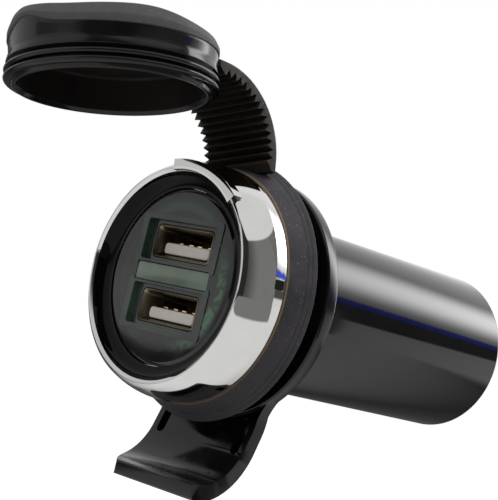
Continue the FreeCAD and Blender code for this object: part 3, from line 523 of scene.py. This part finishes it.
# Plain sockets, darkest and lightest colour, least and most roughness, grain scale and height, rubs
plain_finishes = {
    "chrome_plating": ({"Metallic": 1.0}, ((0.62, 0.615, 0.60), (0.66, 0.655, 0.64)), (0.03, 0.05),
                       700.0, 0.0002, 0.25),
    "tinted_window": ({"Coat Weight": 0.3}, ((0.10, 0.14, 0.10), (0.14, 0.18, 0.14)), (0.2, 0.3),
                      1500.0, 0.003),
    "port_steel": ({"Metallic": 1.0}, ((0.14, 0.118, 0.08), (0.27, 0.23, 0.165)), (0.3, 0.45),
                   900.0, 0.004, 0.35),
    "white_plastic": ({}, ((0.60, 0.57, 0.52), (0.68, 0.65, 0.60)), (0.4, 0.5), 2500.0, 0.006, 0.3),
    "black_plastic": ({}, ((0.014, 0.014, 0.015), (0.022, 0.022, 0.023)), (0.35, 0.5), 2200.0, 0.012, 0.35),
    "gloss_black": ({"Specular IOR Level": 0.35}, ((0.002, 0.002, 0.0023), (0.004, 0.004, 0.0045)),
                    (0.12, 0.2), 900.0, 0.003, 0.35),
    "board_laminate": ({}, ((0.01, 0.09, 0.035), (0.02, 0.12, 0.05)), (0.25, 0.35), 1500.0, 0.006),
    "ferrite": ({}, ((0.02, 0.02, 0.02), (0.05, 0.05, 0.05)), (0.6, 0.8), 3000.0, 0.03),
    "capacitor_can": ({"Metallic": 1.0}, ((0.5, 0.5, 0.52), (0.62, 0.62, 0.64)), (0.25, 0.35),
                      2500.0, 0.004, 0.3),
    "chip_resin": ({}, ((0.012, 0.012, 0.012), (0.025, 0.025, 0.025)), (0.5, 0.65), 3500.0, 0.015),
    "terminal_brass": ({"Metallic": 1.0}, ((0.55, 0.52, 0.44), (0.66, 0.62, 0.54)), (0.2, 0.35),
                       1800.0, 0.005, 0.4),
    "contact_gold": ({"Metallic": 1.0}, ((0.75, 0.55, 0.22), (0.85, 0.65, 0.3)), (0.2, 0.3),
                     2000.0, 0.003, 0.3),
}
finishes = {name: plain_finish(name, *values) for name, values in plain_finishes.items()}
finishes["smoked_plastic"] = smoky_finish()
finishes["black_rubber"] = rubber_finish()


def settle(piece, body, slot, nodes, materials=None, smooth=35.0):
    """Give a finished piece its finish and its body, and hide the CAD nodes it stands for."""
    numbers = [face.material_index for face in piece.data.polygons]
    piece.data.materials.clear()
    for material in materials or [finishes[slot]]:
        piece.data.materials.append(material)
    for face, number in zip(piece.data.polygons, numbers):
        face.material_index = number if materials else 0
    bpy.ops.object.select_all(action="DESELECT")
    piece.select_set(True)
    bpy.context.view_layer.objects.active = piece
    bpy.ops.object.shade_smooth_by_angle(angle=math.radians(smooth))
    if body:
        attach(piece, body)
    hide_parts(*nodes)


def paint(piece, rules):
    """Give each face the first material number whose rule(centre in mm, normal) holds."""
    for face in piece.data.polygons:
        centre = face.center / MM
        face.material_index = next((n for n, rule in rules if rule(centre, face.normal)), 0)


def make_bezel():
    """Chromed ring: cylinder at the rear, barrel towards the front, rounded lip, bowl and hub."""
    bore = insert_radius + fit
    sleeve_bore = neck_radius + fit
    hub_radius = sleeve_bore + hub_wall
    ledge_y = insert_high.y + 0.05
    ledge_radius = insert_radius - 1.6
    web_rear_y = insert_high.y + 1.05
    barrel_start = (bezel_radius, seam_y - 0.8)
    barrel_end = (bezel_radius - 1.35, mouth_y + 0.35)
    bowl_start = (bore, face_y)
    lip_inner = (mouth_radius - 0.1, mouth_y + 0.3)
    outline = softened([
        (bezel_radius, seam_y, 0.25),
        barrel_start,
        *bow(barrel_start, barrel_end, 0.5, 18),
        barrel_end,
        (bezel_radius - 1.8, mouth_y, 0.4),
        (mouth_radius + 0.35, mouth_y, 0.25),
        lip_inner,
        *bow(lip_inner, bowl_start, -0.55),
        bowl_start,
        (bore, ledge_y),
        (ledge_radius, ledge_y, 0.2),
        (ledge_radius, web_rear_y, 0.2),
        (sleeve_bore, web_rear_y),
        (sleeve_bore, bezel_high.y, 0.3),
        (hub_radius, bezel_high.y, 0.3),
        (hub_radius, seam_y),
    ])
    ring = lathe("chromed_bezel", outline, steps=220)
    notch_start = seam_y - 2.5
    notch_length = 2.0
    notch_size = (0.95, 0.9)
    notch_turn = math.radians(83)
    notch = rounded_block("notch", (0, notch_start, bezel_radius), notch_size, 0.25, notch_length)
    notch.data.transform(Matrix.Rotation(notch_turn, 4, "Y"))
    combine(ring, notch)
    bowl = 1
    bowl_edge = mouth_radius - 0.12
    # The bowl inside the lip gets a painted dark reflection in place of chrome.
    paint(ring, [(bowl, lambda p, normal: math.hypot(p.x, p.z) < bowl_edge and p.y < face_y)])
    settle(ring, "socket", "chrome_plating", ["bezel"], [finishes["chrome_plating"], bowl_dark_reflection_finish()],
           smooth=30)

    arc_inner = mouth_radius - 0.05
    arc_outer = mouth_radius + 1.75
    arc = lathe("bezel_arc", softened([
        (arc_inner, mouth_y + 0.5),
        (arc_inner, mouth_y - arc_height, 0.15),
        (arc_outer, mouth_y - arc_height, 0.15),
        (arc_outer, mouth_y + 1.2),
    ]), steps=40, start=-9, sweep=51)
    settle(arc, "socket", "chrome_plating", [], smooth=30)


def port_centres():
    """Middle of each USB shell, in millimetres."""
    return [sum(corners("usb_shell_" + name), Vector()) / 2 for name in port_names]


def make_insert():
    """Smoky plate with rounded windows round the ports and the light bar."""
    outline = softened([
        (0, face_y), (insert_radius - 0.6, face_y, 0.15), (insert_radius, face_y + 0.35, 0.15),
        (insert_radius, insert_high.y), (0, insert_high.y)], closed=False)
    plate = lathe("smoky_insert", outline, steps=160, closed=False)
    past_plate = 3
    depth = insert_high.y - insert_low.y + past_plate
    window_half = (8.2, 3.35)
    frame_half = (9.5, 4.15)
    pocket_depth = 0.9
    hole_half = (6.8, 2.8)
    frame_rise = 0.16
    for centre in port_centres():
        frame_place = (0, face_y - frame_rise, centre.z)
        combine(plate, rounded_block("frame", frame_place, frame_half, 0.6, 1.0), "UNION")
    for centre in port_centres():
        place = (0, face_y - 1, centre.z)
        combine(plate, rounded_block("window", place, window_half, 0.5, 1 + pocket_depth))
        combine(plate, rounded_block("hole", place, hole_half, 0.9, depth))
    bar_half = ((light_high.x - light_low.x) / 2, (light_high.z - light_low.z) / 2)
    light_half = (bar_half[0] + fit, bar_half[1] + fit)
    middle = (light_low.z + light_high.z) / 2
    combine(plate, rounded_block("light_hole", (0, insert_low.y - 2, middle), light_half, 0.3, depth))
    bevel_edges(plate, 0.15, 1, 60)
    cut_edge, wall, raised = 1, 2, 3
    clear_of_rim = 12.6
    edge_reach = (9.6, 10.6)
    wall_reach = (8.9, 10)

    def within(point, limits):
        near = math.hypot(point.x, point.z) < clear_of_rim
        return near and abs(point.x) < limits[0] and abs(point.z) < limits[1]

    def on_face(point):
        return abs(point.y - face_y) < 0.02

    # The bevelled cut edges of the windows take the painted pale-green glow of light in the clear edge.
    paint(plate, [
        (cut_edge, lambda p, normal: within(p, edge_reach) and -0.95 < normal.y < -0.3),
        (wall, lambda p, normal: within(p, wall_reach) and abs(normal.y) < 0.3),
        (raised, lambda p, normal: within(p, edge_reach) and normal.y < -0.95 and not on_face(p)),
    ])
    settle(plate, "socket", "smoked_plastic", ["port_face"],
           [finishes["smoked_plastic"], window_edge_glow_finish(), window_wall_finish(), frame_finish()],
           smooth=30)

    bar_start = light_low.y - brought_forward + 0.05
    guide_start = light_low.y + 2.4
    overlap = 0.2
    bar = rounded_block("light_bar", (0, bar_start, middle), bar_half, 0.25,
                        guide_start + overlap - bar_start)
    bevel_edges(bar, 0.12)
    guide_half = (4.0, 0.6)
    guide = rounded_block("light_guide", (0, guide_start, middle), guide_half, 0.1,
                          light_high.y - guide_start)
    combine(bar, guide, "UNION")
    settle(bar, "socket", "tinted_window", ["light_window"])


def make_port(name):
    """USB socket: folded shell with a flared rim, and a tongue with rounded front edges."""
    shell_low, shell_high = corners("usb_shell_" + name)
    centre = (shell_low + shell_high) / 2
    flare_half = (6.75, 2.75)
    tube_half = (flare_half[0] - 0.45, flare_half[1] - 0.35)
    flare_depth = 0.8
    wall = 0.3
    rim_depth = 1.0
    rim_y = face_y + rim_depth
    shell = rounded_block("usb_shell_%s_drawn" % name, (0, rim_y, centre.z), flare_half, 0.9,
                          flare_depth)
    bpy.ops.object.mode_set(mode="EDIT")
    pick_faces(shell, lambda p, normal: normal.y > 0.9)
    bpy.ops.transform.resize(value=(tube_half[0] / flare_half[0], 1, tube_half[1] / flare_half[1]),
                             center_override=Vector((0, rim_y + flare_depth, centre.z)) * MM)
    length = shell_high.y - rim_y - flare_depth
    bpy.ops.mesh.extrude_region_move(TRANSFORM_OT_translate={"value": (0, length * MM, 0)})
    pick_faces(shell, lambda p, normal: normal.y < -0.9)
    bpy.ops.mesh.delete(type="FACE")
    bpy.ops.object.mode_set(mode="OBJECT")
    wall_modifier = shell.modifiers.new("wall", "SOLIDIFY")
    wall_modifier.thickness = wall * MM
    wall_modifier.offset = -1
    apply_modifiers(shell)
    slot_start = shell_low.y + 4.0
    slot_length = 5.5
    past_wall = 2
    side_half = (flare_half[0] + past_wall, 0.5)
    side_place = (0, slot_start, centre.z + 0.8)
    combine(shell, rounded_block("side_slot", side_place, side_half, 0.2, slot_length))
    spring_x = 3.2
    spring_half = (1.1, flare_half[1] + past_wall)
    for side in (-1, 1):
        spring_place = (side * spring_x, slot_start, centre.z)
        combine(shell, rounded_block("spring_slot", spring_place, spring_half, 0.4, slot_length))
    bevel_edges(shell, 0.08, 2)
    settle(shell, "socket", "port_steel", ["usb_shell_" + name])

    low, high = corners("usb_tongue_" + name)
    tongue_half = (tube_half[0] - wall - 0.7, 0.92)
    tongue_z = centre.z - 0.95
    tongue_y = low.y - 0.9
    root_length = 2.35
    root_y = high.y - root_length
    overlap = 0.2
    tongue = rounded_block("usb_tongue_%s_moulded" % name, (0, tongue_y, tongue_z), tongue_half, 0.6,
                           root_y + overlap - tongue_y)
    bevel_edges(tongue, 0.25, 4)
    root_half = ((high.x - low.x) / 2, (high.z - low.z) / 2)
    root = rounded_block("root", (0, root_y, centre.z), root_half, 0.3, root_length)
    combine(tongue, root, "UNION")
    settle(tongue, "socket", "white_plastic", ["usb_tongue_" + name])


def make_tube():
    """Long body tube with a neck in front and a counterbored, rounded rear end."""
    inner = tube_radius - tube_wall
    seat = inner + 0.35
    seat_y = tube_high.y - 4.45
    outline = softened([
        (inner, tube_low.y, 0.3),
        (neck_radius, tube_low.y, 0.3),
        (neck_radius, 0),
        (tube_radius, 0, 0.1),
        (tube_radius, tube_high.y, 1.1),
        (seat, tube_high.y, 0.3),
        (seat, seat_y),
        (inner, seat_y),
    ], steps=6)
    tube = lathe("long_tube", outline, steps=240)
    settle(tube, "socket", "black_plastic", ["body_tube"], [tube_finish()])


def make_bracket():
    """Moulded ring with a tab that flares from it, hangs down and hooks forward."""
    bore = neck_radius + fit / 2
    front = -ring_thickness
    ring_radius = 20.25
    ring = lathe("hook_bracket", softened([
        (bore, front, 0.15),
        (ring_radius, front, 0.45),
        (ring_radius - 0.35, 0, 0.6),
        (bore, 0, 0.15),
    ]), steps=200)
    half_width = 11.1
    thickness = 2.4
    back_y = -0.1
    top_z = -tube_radius - 0.75
    straight_z = top_z - 5.0
    bend = (-1.5, -24.8)
    tip = (-11.0, -33.3)
    tip_front = (-11.5, -30.7)
    bend_front = (bend[0] - thickness, bend[1] + 0.3)
    tab = extruded("tab", softened([
        (back_y, top_z),
        (back_y, straight_z, 12.0),
        bend,
        *bow(bend, tip, 1.7, 12),
        (*tip, 1.3),
        (*tip_front, 1.2),
        *bow(tip_front, bend_front, -1.3, 12),
        bend_front,
        (-thickness, straight_z, 10.0),
        (-thickness, top_z),
    ]), -half_width, 2 * half_width, "X")
    lip_corner = 3.2
    lip_y = tip_front[0] - 0.1

    def round_corner(point):
        inset = lip_corner - (point.y - lip_y)
        if inset <= 0:
            return point
        narrowed = half_width - lip_corner + math.sqrt(max(0.0, lip_corner ** 2 - inset ** 2))
        return Vector((math.copysign(narrowed, point.x), point.y, point.z))

    shift(tab, round_corner)
    bpy.ops.object.mode_set(mode="EDIT")
    bpy.ops.mesh.select_all(action="SELECT")
    bpy.ops.mesh.quads_convert_to_tris(quad_method="BEAUTY", ngon_method="BEAUTY")
    bpy.ops.object.mode_set(mode="OBJECT")
    flare_x = 15.44
    flare_z = -12.07
    flare_thickness = thickness - 0.35
    side_end = -21.2
    steps = 12
    inside = half_width - 0.3
    shares = [step / steps for step in range(steps + 1)]
    right_side = [(inside + (flare_x - inside) * (1 - share) ** 2, flare_z + (side_end - flare_z) * share)
                  for share in shares]
    left_side = [(-x, z) for x, z in reversed(right_side)]
    flare = extruded("flare", right_side + left_side, -thickness, flare_thickness, "Y")
    combine(tab, flare, "UNION")
    groove_half = (0.9, 3.0)
    groove_x = 9.0
    groove_z = -22.0
    groove_depth = 0.3
    clear = 4
    for side in (-1, 1):
        groove_place = (side * groove_x, -thickness - clear, groove_z)
        combine(tab, rounded_block("groove", groove_place, groove_half, 0.85, clear + groove_depth))
    margin = 1
    hole_start = front - margin
    hole_radius = bore + margin
    hole = lathe("hole", [(0, hole_start), (hole_radius, hole_start), (hole_radius, margin), (0, margin)],
                 steps=120, closed=False)
    combine(tab, hole)
    combine(ring, tab, "UNION")
    bevel_edges(ring, 0.35, 3, 40)
    settle(ring, "socket", "gloss_black", ["mount_bracket"], smooth=32)


def make_collar():
    """Tapered rubber collar with two fine grooves before its rear edge."""
    front = collar_low.y
    rear = collar_high.y
    bore = neck_radius + fit
    inner = bore + hub_wall + fit
    lip_y = rear - 1.5
    groove_half = 0.12
    groove_depth = 0.14
    slope = (collar_radius - bezel_radius) / (rear - front)

    def skin(y, depth=0.0):
        return (bezel_radius + slope * (y - front) - depth, y)

    outline = [(inner, front), (bezel_radius, front, 0.2)]
    for groove_y in (rear - 1.5, rear - 0.8):
        outline += [skin(groove_y - groove_half), skin(groove_y, groove_depth), skin(groove_y + groove_half)]
    outline += [(collar_radius, rear - 0.25, 0.2), (collar_radius - 0.4, rear, 0.2), (bore, rear, 0.1),
                (bore, lip_y, 0.1), (inner, lip_y)]
    collar = lathe("rubber_collar_ring", softened(outline), steps=220)
    settle(collar, "socket", "black_rubber", ["rubber_collar"], [collar_finish()])


cap_centre = Vector((0, -37.9, 24.1))
cap_radius = 15.95
cap_nod = math.radians(4.8)
strap_lean = math.radians(-10.9)
strap_back = 13.0
strap_centre = Vector((0, collar_high.y - 2.0 - strap_back, bezel_radius + 0.4))
band_top = 6.4
crown_edge = 8.2


def cap_place():
    """Turn and place that carry the cap's own frame to where it stands open."""
    turned = Matrix.Rotation(strap_lean, 4, "Y") @ Matrix.Rotation(cap_nod, 4, "X")
    return Matrix.Translation(cap_centre * MM) @ turned


def swell(angle, middle, left, right):
    """Bell over the angle round the cap, with its own width on either side of its middle."""
    away = (angle - middle + 180) % 360 - 180
    return math.exp(-(away / (right if away > 0 else left)) ** 2)


def crease_height(angle):
    """Height of the line where matte skin meets the glossy band, by angle from -Y towards +X."""
    return band_top + 1.7 * swell(angle, -6, 16, 17)


def crown_height(angle):
    """Height of the crown's edge: raised over the grip, and a little along the near side."""
    along_side = 0.9 * swell(angle, 30, 70, 52) + 0.7 * swell(angle, 72, 26, 24)
    over_grip = 0.45 * swell(angle, 6, 18, 14) + 1.0 * swell(angle, -14, 30, 16)
    return crown_edge + along_side + over_grip


def make_cap():
    """Weather cap: cup with sealing lips, a glossy waist and a matte crown that waves over the grip."""
    cup_radius = 13.9
    cup_floor = 6.0
    lip_root = 15.2
    lip_edge = 15.8
    lip_height = 0.95
    lips = []
    for base in (0.55, 1.75):
        top = base + lip_height
        lips += [(lip_root, base), (lip_edge, base), *bow((lip_edge, base), (lip_edge, top), -0.4, 6),
                 (lip_edge, top), (lip_root, top)]
    waist = cap_radius - 0.2
    crown_start = (cap_radius - 0.5, crown_edge)
    crown_top = (0, 9.4)
    outline = softened([
        (0, cup_floor), (cup_radius, cup_floor, 0.6), (cup_radius, 0.6, 0.3), (14.3, 0.0, 0.2),
        (14.83, 0.0, 0.2), (15.0, 0.55),
        *lips,
        (15.3, 2.95), (cap_radius, 3.3, 0.15), (cap_radius - 0.35, 4.6, 2.0), (waist, 6.1, 0.3),
        (waist, band_top), (cap_radius, 6.5, 0.1), (cap_radius + 0.02, 7.2, 0.3), (*crown_start, 0.35),
        *bow(crown_start, crown_top, -0.25, 10), crown_top], closed=False)
    cap = lathe("weather_cap_moulded", outline, axis="Z", steps=240, closed=False)
    gloss, cup = 1, 2
    paint(cap, [
        (cup, lambda p, normal: math.hypot(p.x, p.y) < cup_radius + 0.1 and p.z < cup_floor + 0.1),
        (gloss, lambda p, normal: p.z < band_top + 0.02),
    ])
    band_start = 5.0
    skin_start = 6.6

    def wave(point):
        radius = math.hypot(point.x, point.y)
        height = point.z
        if radius < 1 or height < band_start:
            return point
        angle = math.degrees(math.atan2(point.x, -point.y))
        crease = crease_height(angle)
        if radius > 14.9 and height < skin_start:
            height += (crease - band_top) * (height - band_start) / (band_top - band_start)
        elif height > skin_start:
            skin = crease + 0.2
            share = (height - skin_start) / (crown_edge - skin_start)
            rise = skin + share * (crown_height(angle) - skin) - height
            height += rise * max(0.0, min(1.0, (radius - 7) / 6))
        return Vector((point.x, point.y, height))

    shift(cap, wave)
    cap.data.transform(cap_place())
    settle(cap, "cap", "black_rubber", ["weather_cap"],
           [rubber_finish("crown_rubber", (0.052, 0.051, 0.054), (0.066, 0.064, 0.068)),
            gloss_rubber_finish(), cup_finish()], smooth=40)


def make_strap():
    """Bent strap with cross ribs on its inner face, straight at the collar and at the cap."""
    front = strap_back - 1.1
    half_width = 7.2
    middle_x = 1.5
    row = math.radians(3.25)
    rows = 28
    on_row_within = math.radians(0.2)
    rib_depth = 1.15
    root_length = 1.5
    tip_length = 1.4
    section = softened([(-half_width, strap_back, 0.4), (half_width, strap_back, 0.4), (half_width, front),
                        (-half_width, front)])
    strap = draw_wire("ribbed_strap", [strap_centre + Vector((middle_x + p.x, p.y, 0)) for p in section])
    bpy.ops.mesh.spin(steps=rows, angle=-row * rows, center=strap_centre * MM, axis=(1, 0, 0))
    close_mesh()
    bpy.ops.object.mode_set(mode="EDIT")
    pick_faces(strap, lambda p, normal: normal.z < -0.99 and p.z < strap_centre.z + 0.1)
    bpy.ops.mesh.extrude_region_move(TRANSFORM_OT_translate={"value": (0, 0, -root_length * MM)})
    pick_faces(strap, lambda p, normal: normal.y < -0.99 and p.z > strap_centre.z + 11)
    bpy.ops.mesh.extrude_region_move(TRANSFORM_OT_translate={"value": (0, -tip_length * MM, 0)})
    bpy.ops.mesh.select_all(action="SELECT")
    bpy.ops.mesh.normals_make_consistent(inside=False)
    bpy.ops.object.mode_set(mode="OBJECT")

    def rib(point):
        away = point - strap_centre
        away.x = 0
        angle = math.atan2(away.z, away.y)
        number = round(angle / row)
        on_row = abs(angle - number * row) < on_row_within
        inner = abs(away.length - front) < 0.05
        if inner and on_row and number % 2 == 0 and 0 <= number <= rows:
            return point - away.normalized() * rib_depth
        return point

    shift(strap, rib)
    heights = strap.data.attributes.new("rib_height", "FLOAT", "POINT")
    for vertex, height in zip(strap.data.vertices, heights.data):
        away = vertex.co / MM - strap_centre
        height.value = 1.0 if math.hypot(away.y, away.z) < front - rib_depth / 2 else 0.0
    there = Matrix.Translation(strap_centre * MM)
    strap.data.transform(there @ Matrix.Rotation(strap_lean, 4, "Y") @ there.inverted())
    settle(strap, None, "black_rubber", ["cap_strap"], [strap_finish()], smooth=28)
    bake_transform(strap)


def dress_kept_nodes():
    """Finish of the CAD nodes that stay shown."""
    slots = {
        "module_carrier": "black_plastic", "circuit_board": "board_laminate", "status_led": "white_plastic",
        "power_inductor": "ferrite", "capacitor_1": "capacitor_can", "capacitor_2": "capacitor_can",
        "regulator_chip": "chip_resin", "port_chip": "chip_resin", "rear_cover": "black_plastic",
        "terminal_positive": "terminal_brass", "terminal_negative": "terminal_brass",
    }
    for name in port_names:
        for number in range(1, 5):
            slots["usb_contact_%s_%d" % (name, number)] = "contact_gold"
    for node, slot in slots.items():
        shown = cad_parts[node]
        shown.data.materials.clear()
        shown.data.materials.append(finishes[slot])


away_from_camera = (-0.707, 0.707, 0)
left_of_camera = (-0.707, -0.707, 0)


def make_world():
    """Studio: white to the eye, and for reflections pale sheets, a dark gap and a softbox above."""
    fringe_blue = (0.06, 0.12, 0.9)
    world = bpy.data.worlds.new("studio")
    bpy.context.scene.world = world
    world.use_nodes = True
    tree = world.node_tree
    direction = add(tree, "TexCoord").outputs["Generated"]
    split = add(tree, "SeparateXYZ", {0: direction})
    height = split.outputs["Z"]
    turn = maths(tree, "ARCTAN2", height, split.outputs["X"])

    def both(first, second):
        return maths(tree, "MULTIPLY", first, second)

    def either(first, second):
        return maths(tree, "MAXIMUM", first, second)

    def choose(share, first, second):
        return add(tree, "Mix", {0: share, 2: first, 3: second}, data_type="FLOAT").outputs[0]

    def turned(start, end, low=0.0, high=1.0):
        return ramp(tree, turn, math.radians(start), math.radians(end), low, high)

    # Sheets and walls that the chrome and the cap mirror
    back = towards(tree, direction, away_from_camera)
    left = towards(tree, direction, left_of_camera)
    front_level = ramp(tree, back, -0.9, -0.5, 0.03, 0.25)
    back_level = maths(tree, "ADD", ramp(tree, height, 0.06, 0.03, 0.09, 0.9),
                       ramp(tree, height, 0.3, 0.4, 0.0, 0.12))
    walls = choose(ramp(tree, back, -0.035, -0.02), front_level, back_level)
    left_wall = both(ramp(tree, left, 0.5, 0.7, 0.0, 0.75), ramp(tree, height, 0.0, 0.05))
    back_sheet = both(ramp(tree, back, 0.7, 0.85), ramp(tree, height, 0.2, 0.3))
    ceiling = ramp(tree, height, 0.7, 0.73, 0.0, 0.92)
    sheets = either(either(walls, left_wall), either(back_sheet, ceiling))

    # Softbox that only the long tube mirrors, with its blue edge
    along_tube = ramp(tree, split.outputs["Y"], 0.66, 0.672)
    glow = both(turned(98, 66, 0.0, 5.1), turned(33, 62))
    softbox = maths(tree, "ADD", glow, turned(28, 34))
    fringe = both(turned(23, 26), turned(31.5, 29))
    mirror_level = choose(along_tube, sheets, either(walls, softbox))

    # What each kind of ray meets
    rays = add(tree, "LightPath")
    glossy = rays.outputs["Is Glossy Ray"]
    fill_level = ramp(tree, height, -0.3, 0.9, 0.04, 1.3)
    unseen = choose(either(glossy, rays.outputs["Is Transmission Ray"]), fill_level, mirror_level)
    shown = choose(rays.outputs["Is Camera Ray"], unseen, 1.0)
    blue = blend_colour(tree, both(both(fringe, along_tube), glossy), shown, fringe_blue)
    tree.links.new(blue, tree.nodes["Background"].inputs["Color"])


def make_floor():
    """Pale floor under the part: white to the eye and in reflections, and it takes a faint shadow."""
    floor_z = -75.0
    half = 1500.0
    white_to_eye = 0.93
    cut_depth = 0.73
    bpy.ops.mesh.primitive_plane_add(size=2 * half * MM, location=(0, 0, floor_z * MM))
    floor = bpy.context.object
    floor.name = "studio_floor"
    bpy.ops.object.transform_apply(location=True, rotation=False, scale=False)
    material, tree, shader = new_material("pale_floor", {"Roughness": 0.9, "Specular IOR Level": 0.0,
                                                         "Emission Strength": 1.0})
    colour = surface(tree, shader, ((0.16, 0.16, 0.16), (0.17, 0.17, 0.17)), (0.9, 0.95), 40.0, 0.01)[0]
    rays = add(tree, "LightPath")
    glossy = rays.outputs["Is Glossy Ray"]
    place = add(tree, "TexCoord").outputs["Object"]
    split = add(tree, "SeparateXYZ", {0: place})
    across = maths(tree, "ADD", split.outputs["X"], maths(tree, "MULTIPLY", split.outputs["Y"], -0.8))
    distance = add(tree, "VectorMath", {0: place}, operation="LENGTH").outputs["Value"]
    far_right = maths(tree, "MULTIPLY", ramp(tree, distance, 0.22, 0.36, 0.0, 0.95),
                      ramp(tree, split.outputs["X"], 0.0, 0.08))
    sheet = maths(tree, "MAXIMUM", ramp(tree, across, -0.128, 0.012, 0.1, 0.95), far_right)
    beside_camera = ramp(tree, towards(tree, place, away_from_camera), -0.02, -0.04)
    cut = maths(tree, "MULTIPLY", ramp(tree, split.outputs["X"], 0.2, 0.23), beside_camera)
    kept = maths(tree, "SUBTRACT", 1.0, maths(tree, "MULTIPLY", cut, cut_depth))
    mirrored = maths(tree, "MULTIPLY", glossy, maths(tree, "MULTIPLY", sheet, kept))
    to_eye = maths(tree, "MULTIPLY", rays.outputs["Is Camera Ray"], white_to_eye)
    tree.links.new(maths(tree, "ADD", to_eye, mirrored), shader.inputs["Emission Color"])
    tree.links.new(blend_colour(tree, glossy, colour, (0, 0, 0)), shader.inputs["Base Color"])
    floor.data.materials.append(material)


def add_lamp(name, place, size, power):
    """Soft area lamp that shines at the origin but isn't mirrored in the object."""
    lamp = bpy.data.lights.new(name, "AREA")
    lamp.shape = "SQUARE"
    lamp.size = size
    lamp.energy = power
    holder = bpy.data.objects.new(name, lamp)
    bpy.context.scene.collection.objects.link(holder)
    holder.location = place
    holder.rotation_euler = (-Vector(place)).to_track_quat("-Z", "Y").to_euler()
    holder.visible_glossy = False


def make_camera():
    """Camera at the photograph's place: to the right of the front, a little low, rolled clockwise."""
    place = Vector((176.17, -174.04, -8.76))
    heading = math.radians(135.72)
    rise = math.radians(3.83)
    roll = math.radians(13.55)
    forward = Vector((math.cos(heading) * math.cos(rise), math.sin(heading) * math.cos(rise), math.sin(rise)))
    level = forward.cross(Vector((0, 0, 1))).normalized()
    upright = level.cross(forward)
    right = level * math.cos(roll) + upright * math.sin(roll)
    up = right.cross(forward)
    lens = bpy.data.cameras.new("photo_camera")
    lens.sensor_width = 36.0
    lens.lens = 107.28
    lens.clip_start = 0.01
    holder = bpy.data.objects.new("photo_camera", lens)
    bpy.context.scene.collection.objects.link(holder)
    turn = Matrix((right, up, -forward)).transposed().to_4x4()
    holder.matrix_world = Matrix.Translation(place * MM) @ turn
    bpy.context.scene.camera = holder


make_bezel()
make_insert()
for port in port_names:
    make_port(port)
make_tube()
make_bracket()
make_collar()
make_cap()
make_strap()
dress_kept_nodes()
make_world()
make_floor()
add_lamp("key_lamp", (0.35, -0.1, 0.65), 0.5, 3.0)
add_lamp("front_lamp", (-0.1, -0.7, 0.15), 0.4, 0.7)
make_camera()

scene = bpy.context.scene
scene.view_settings.view_transform = "Standard"
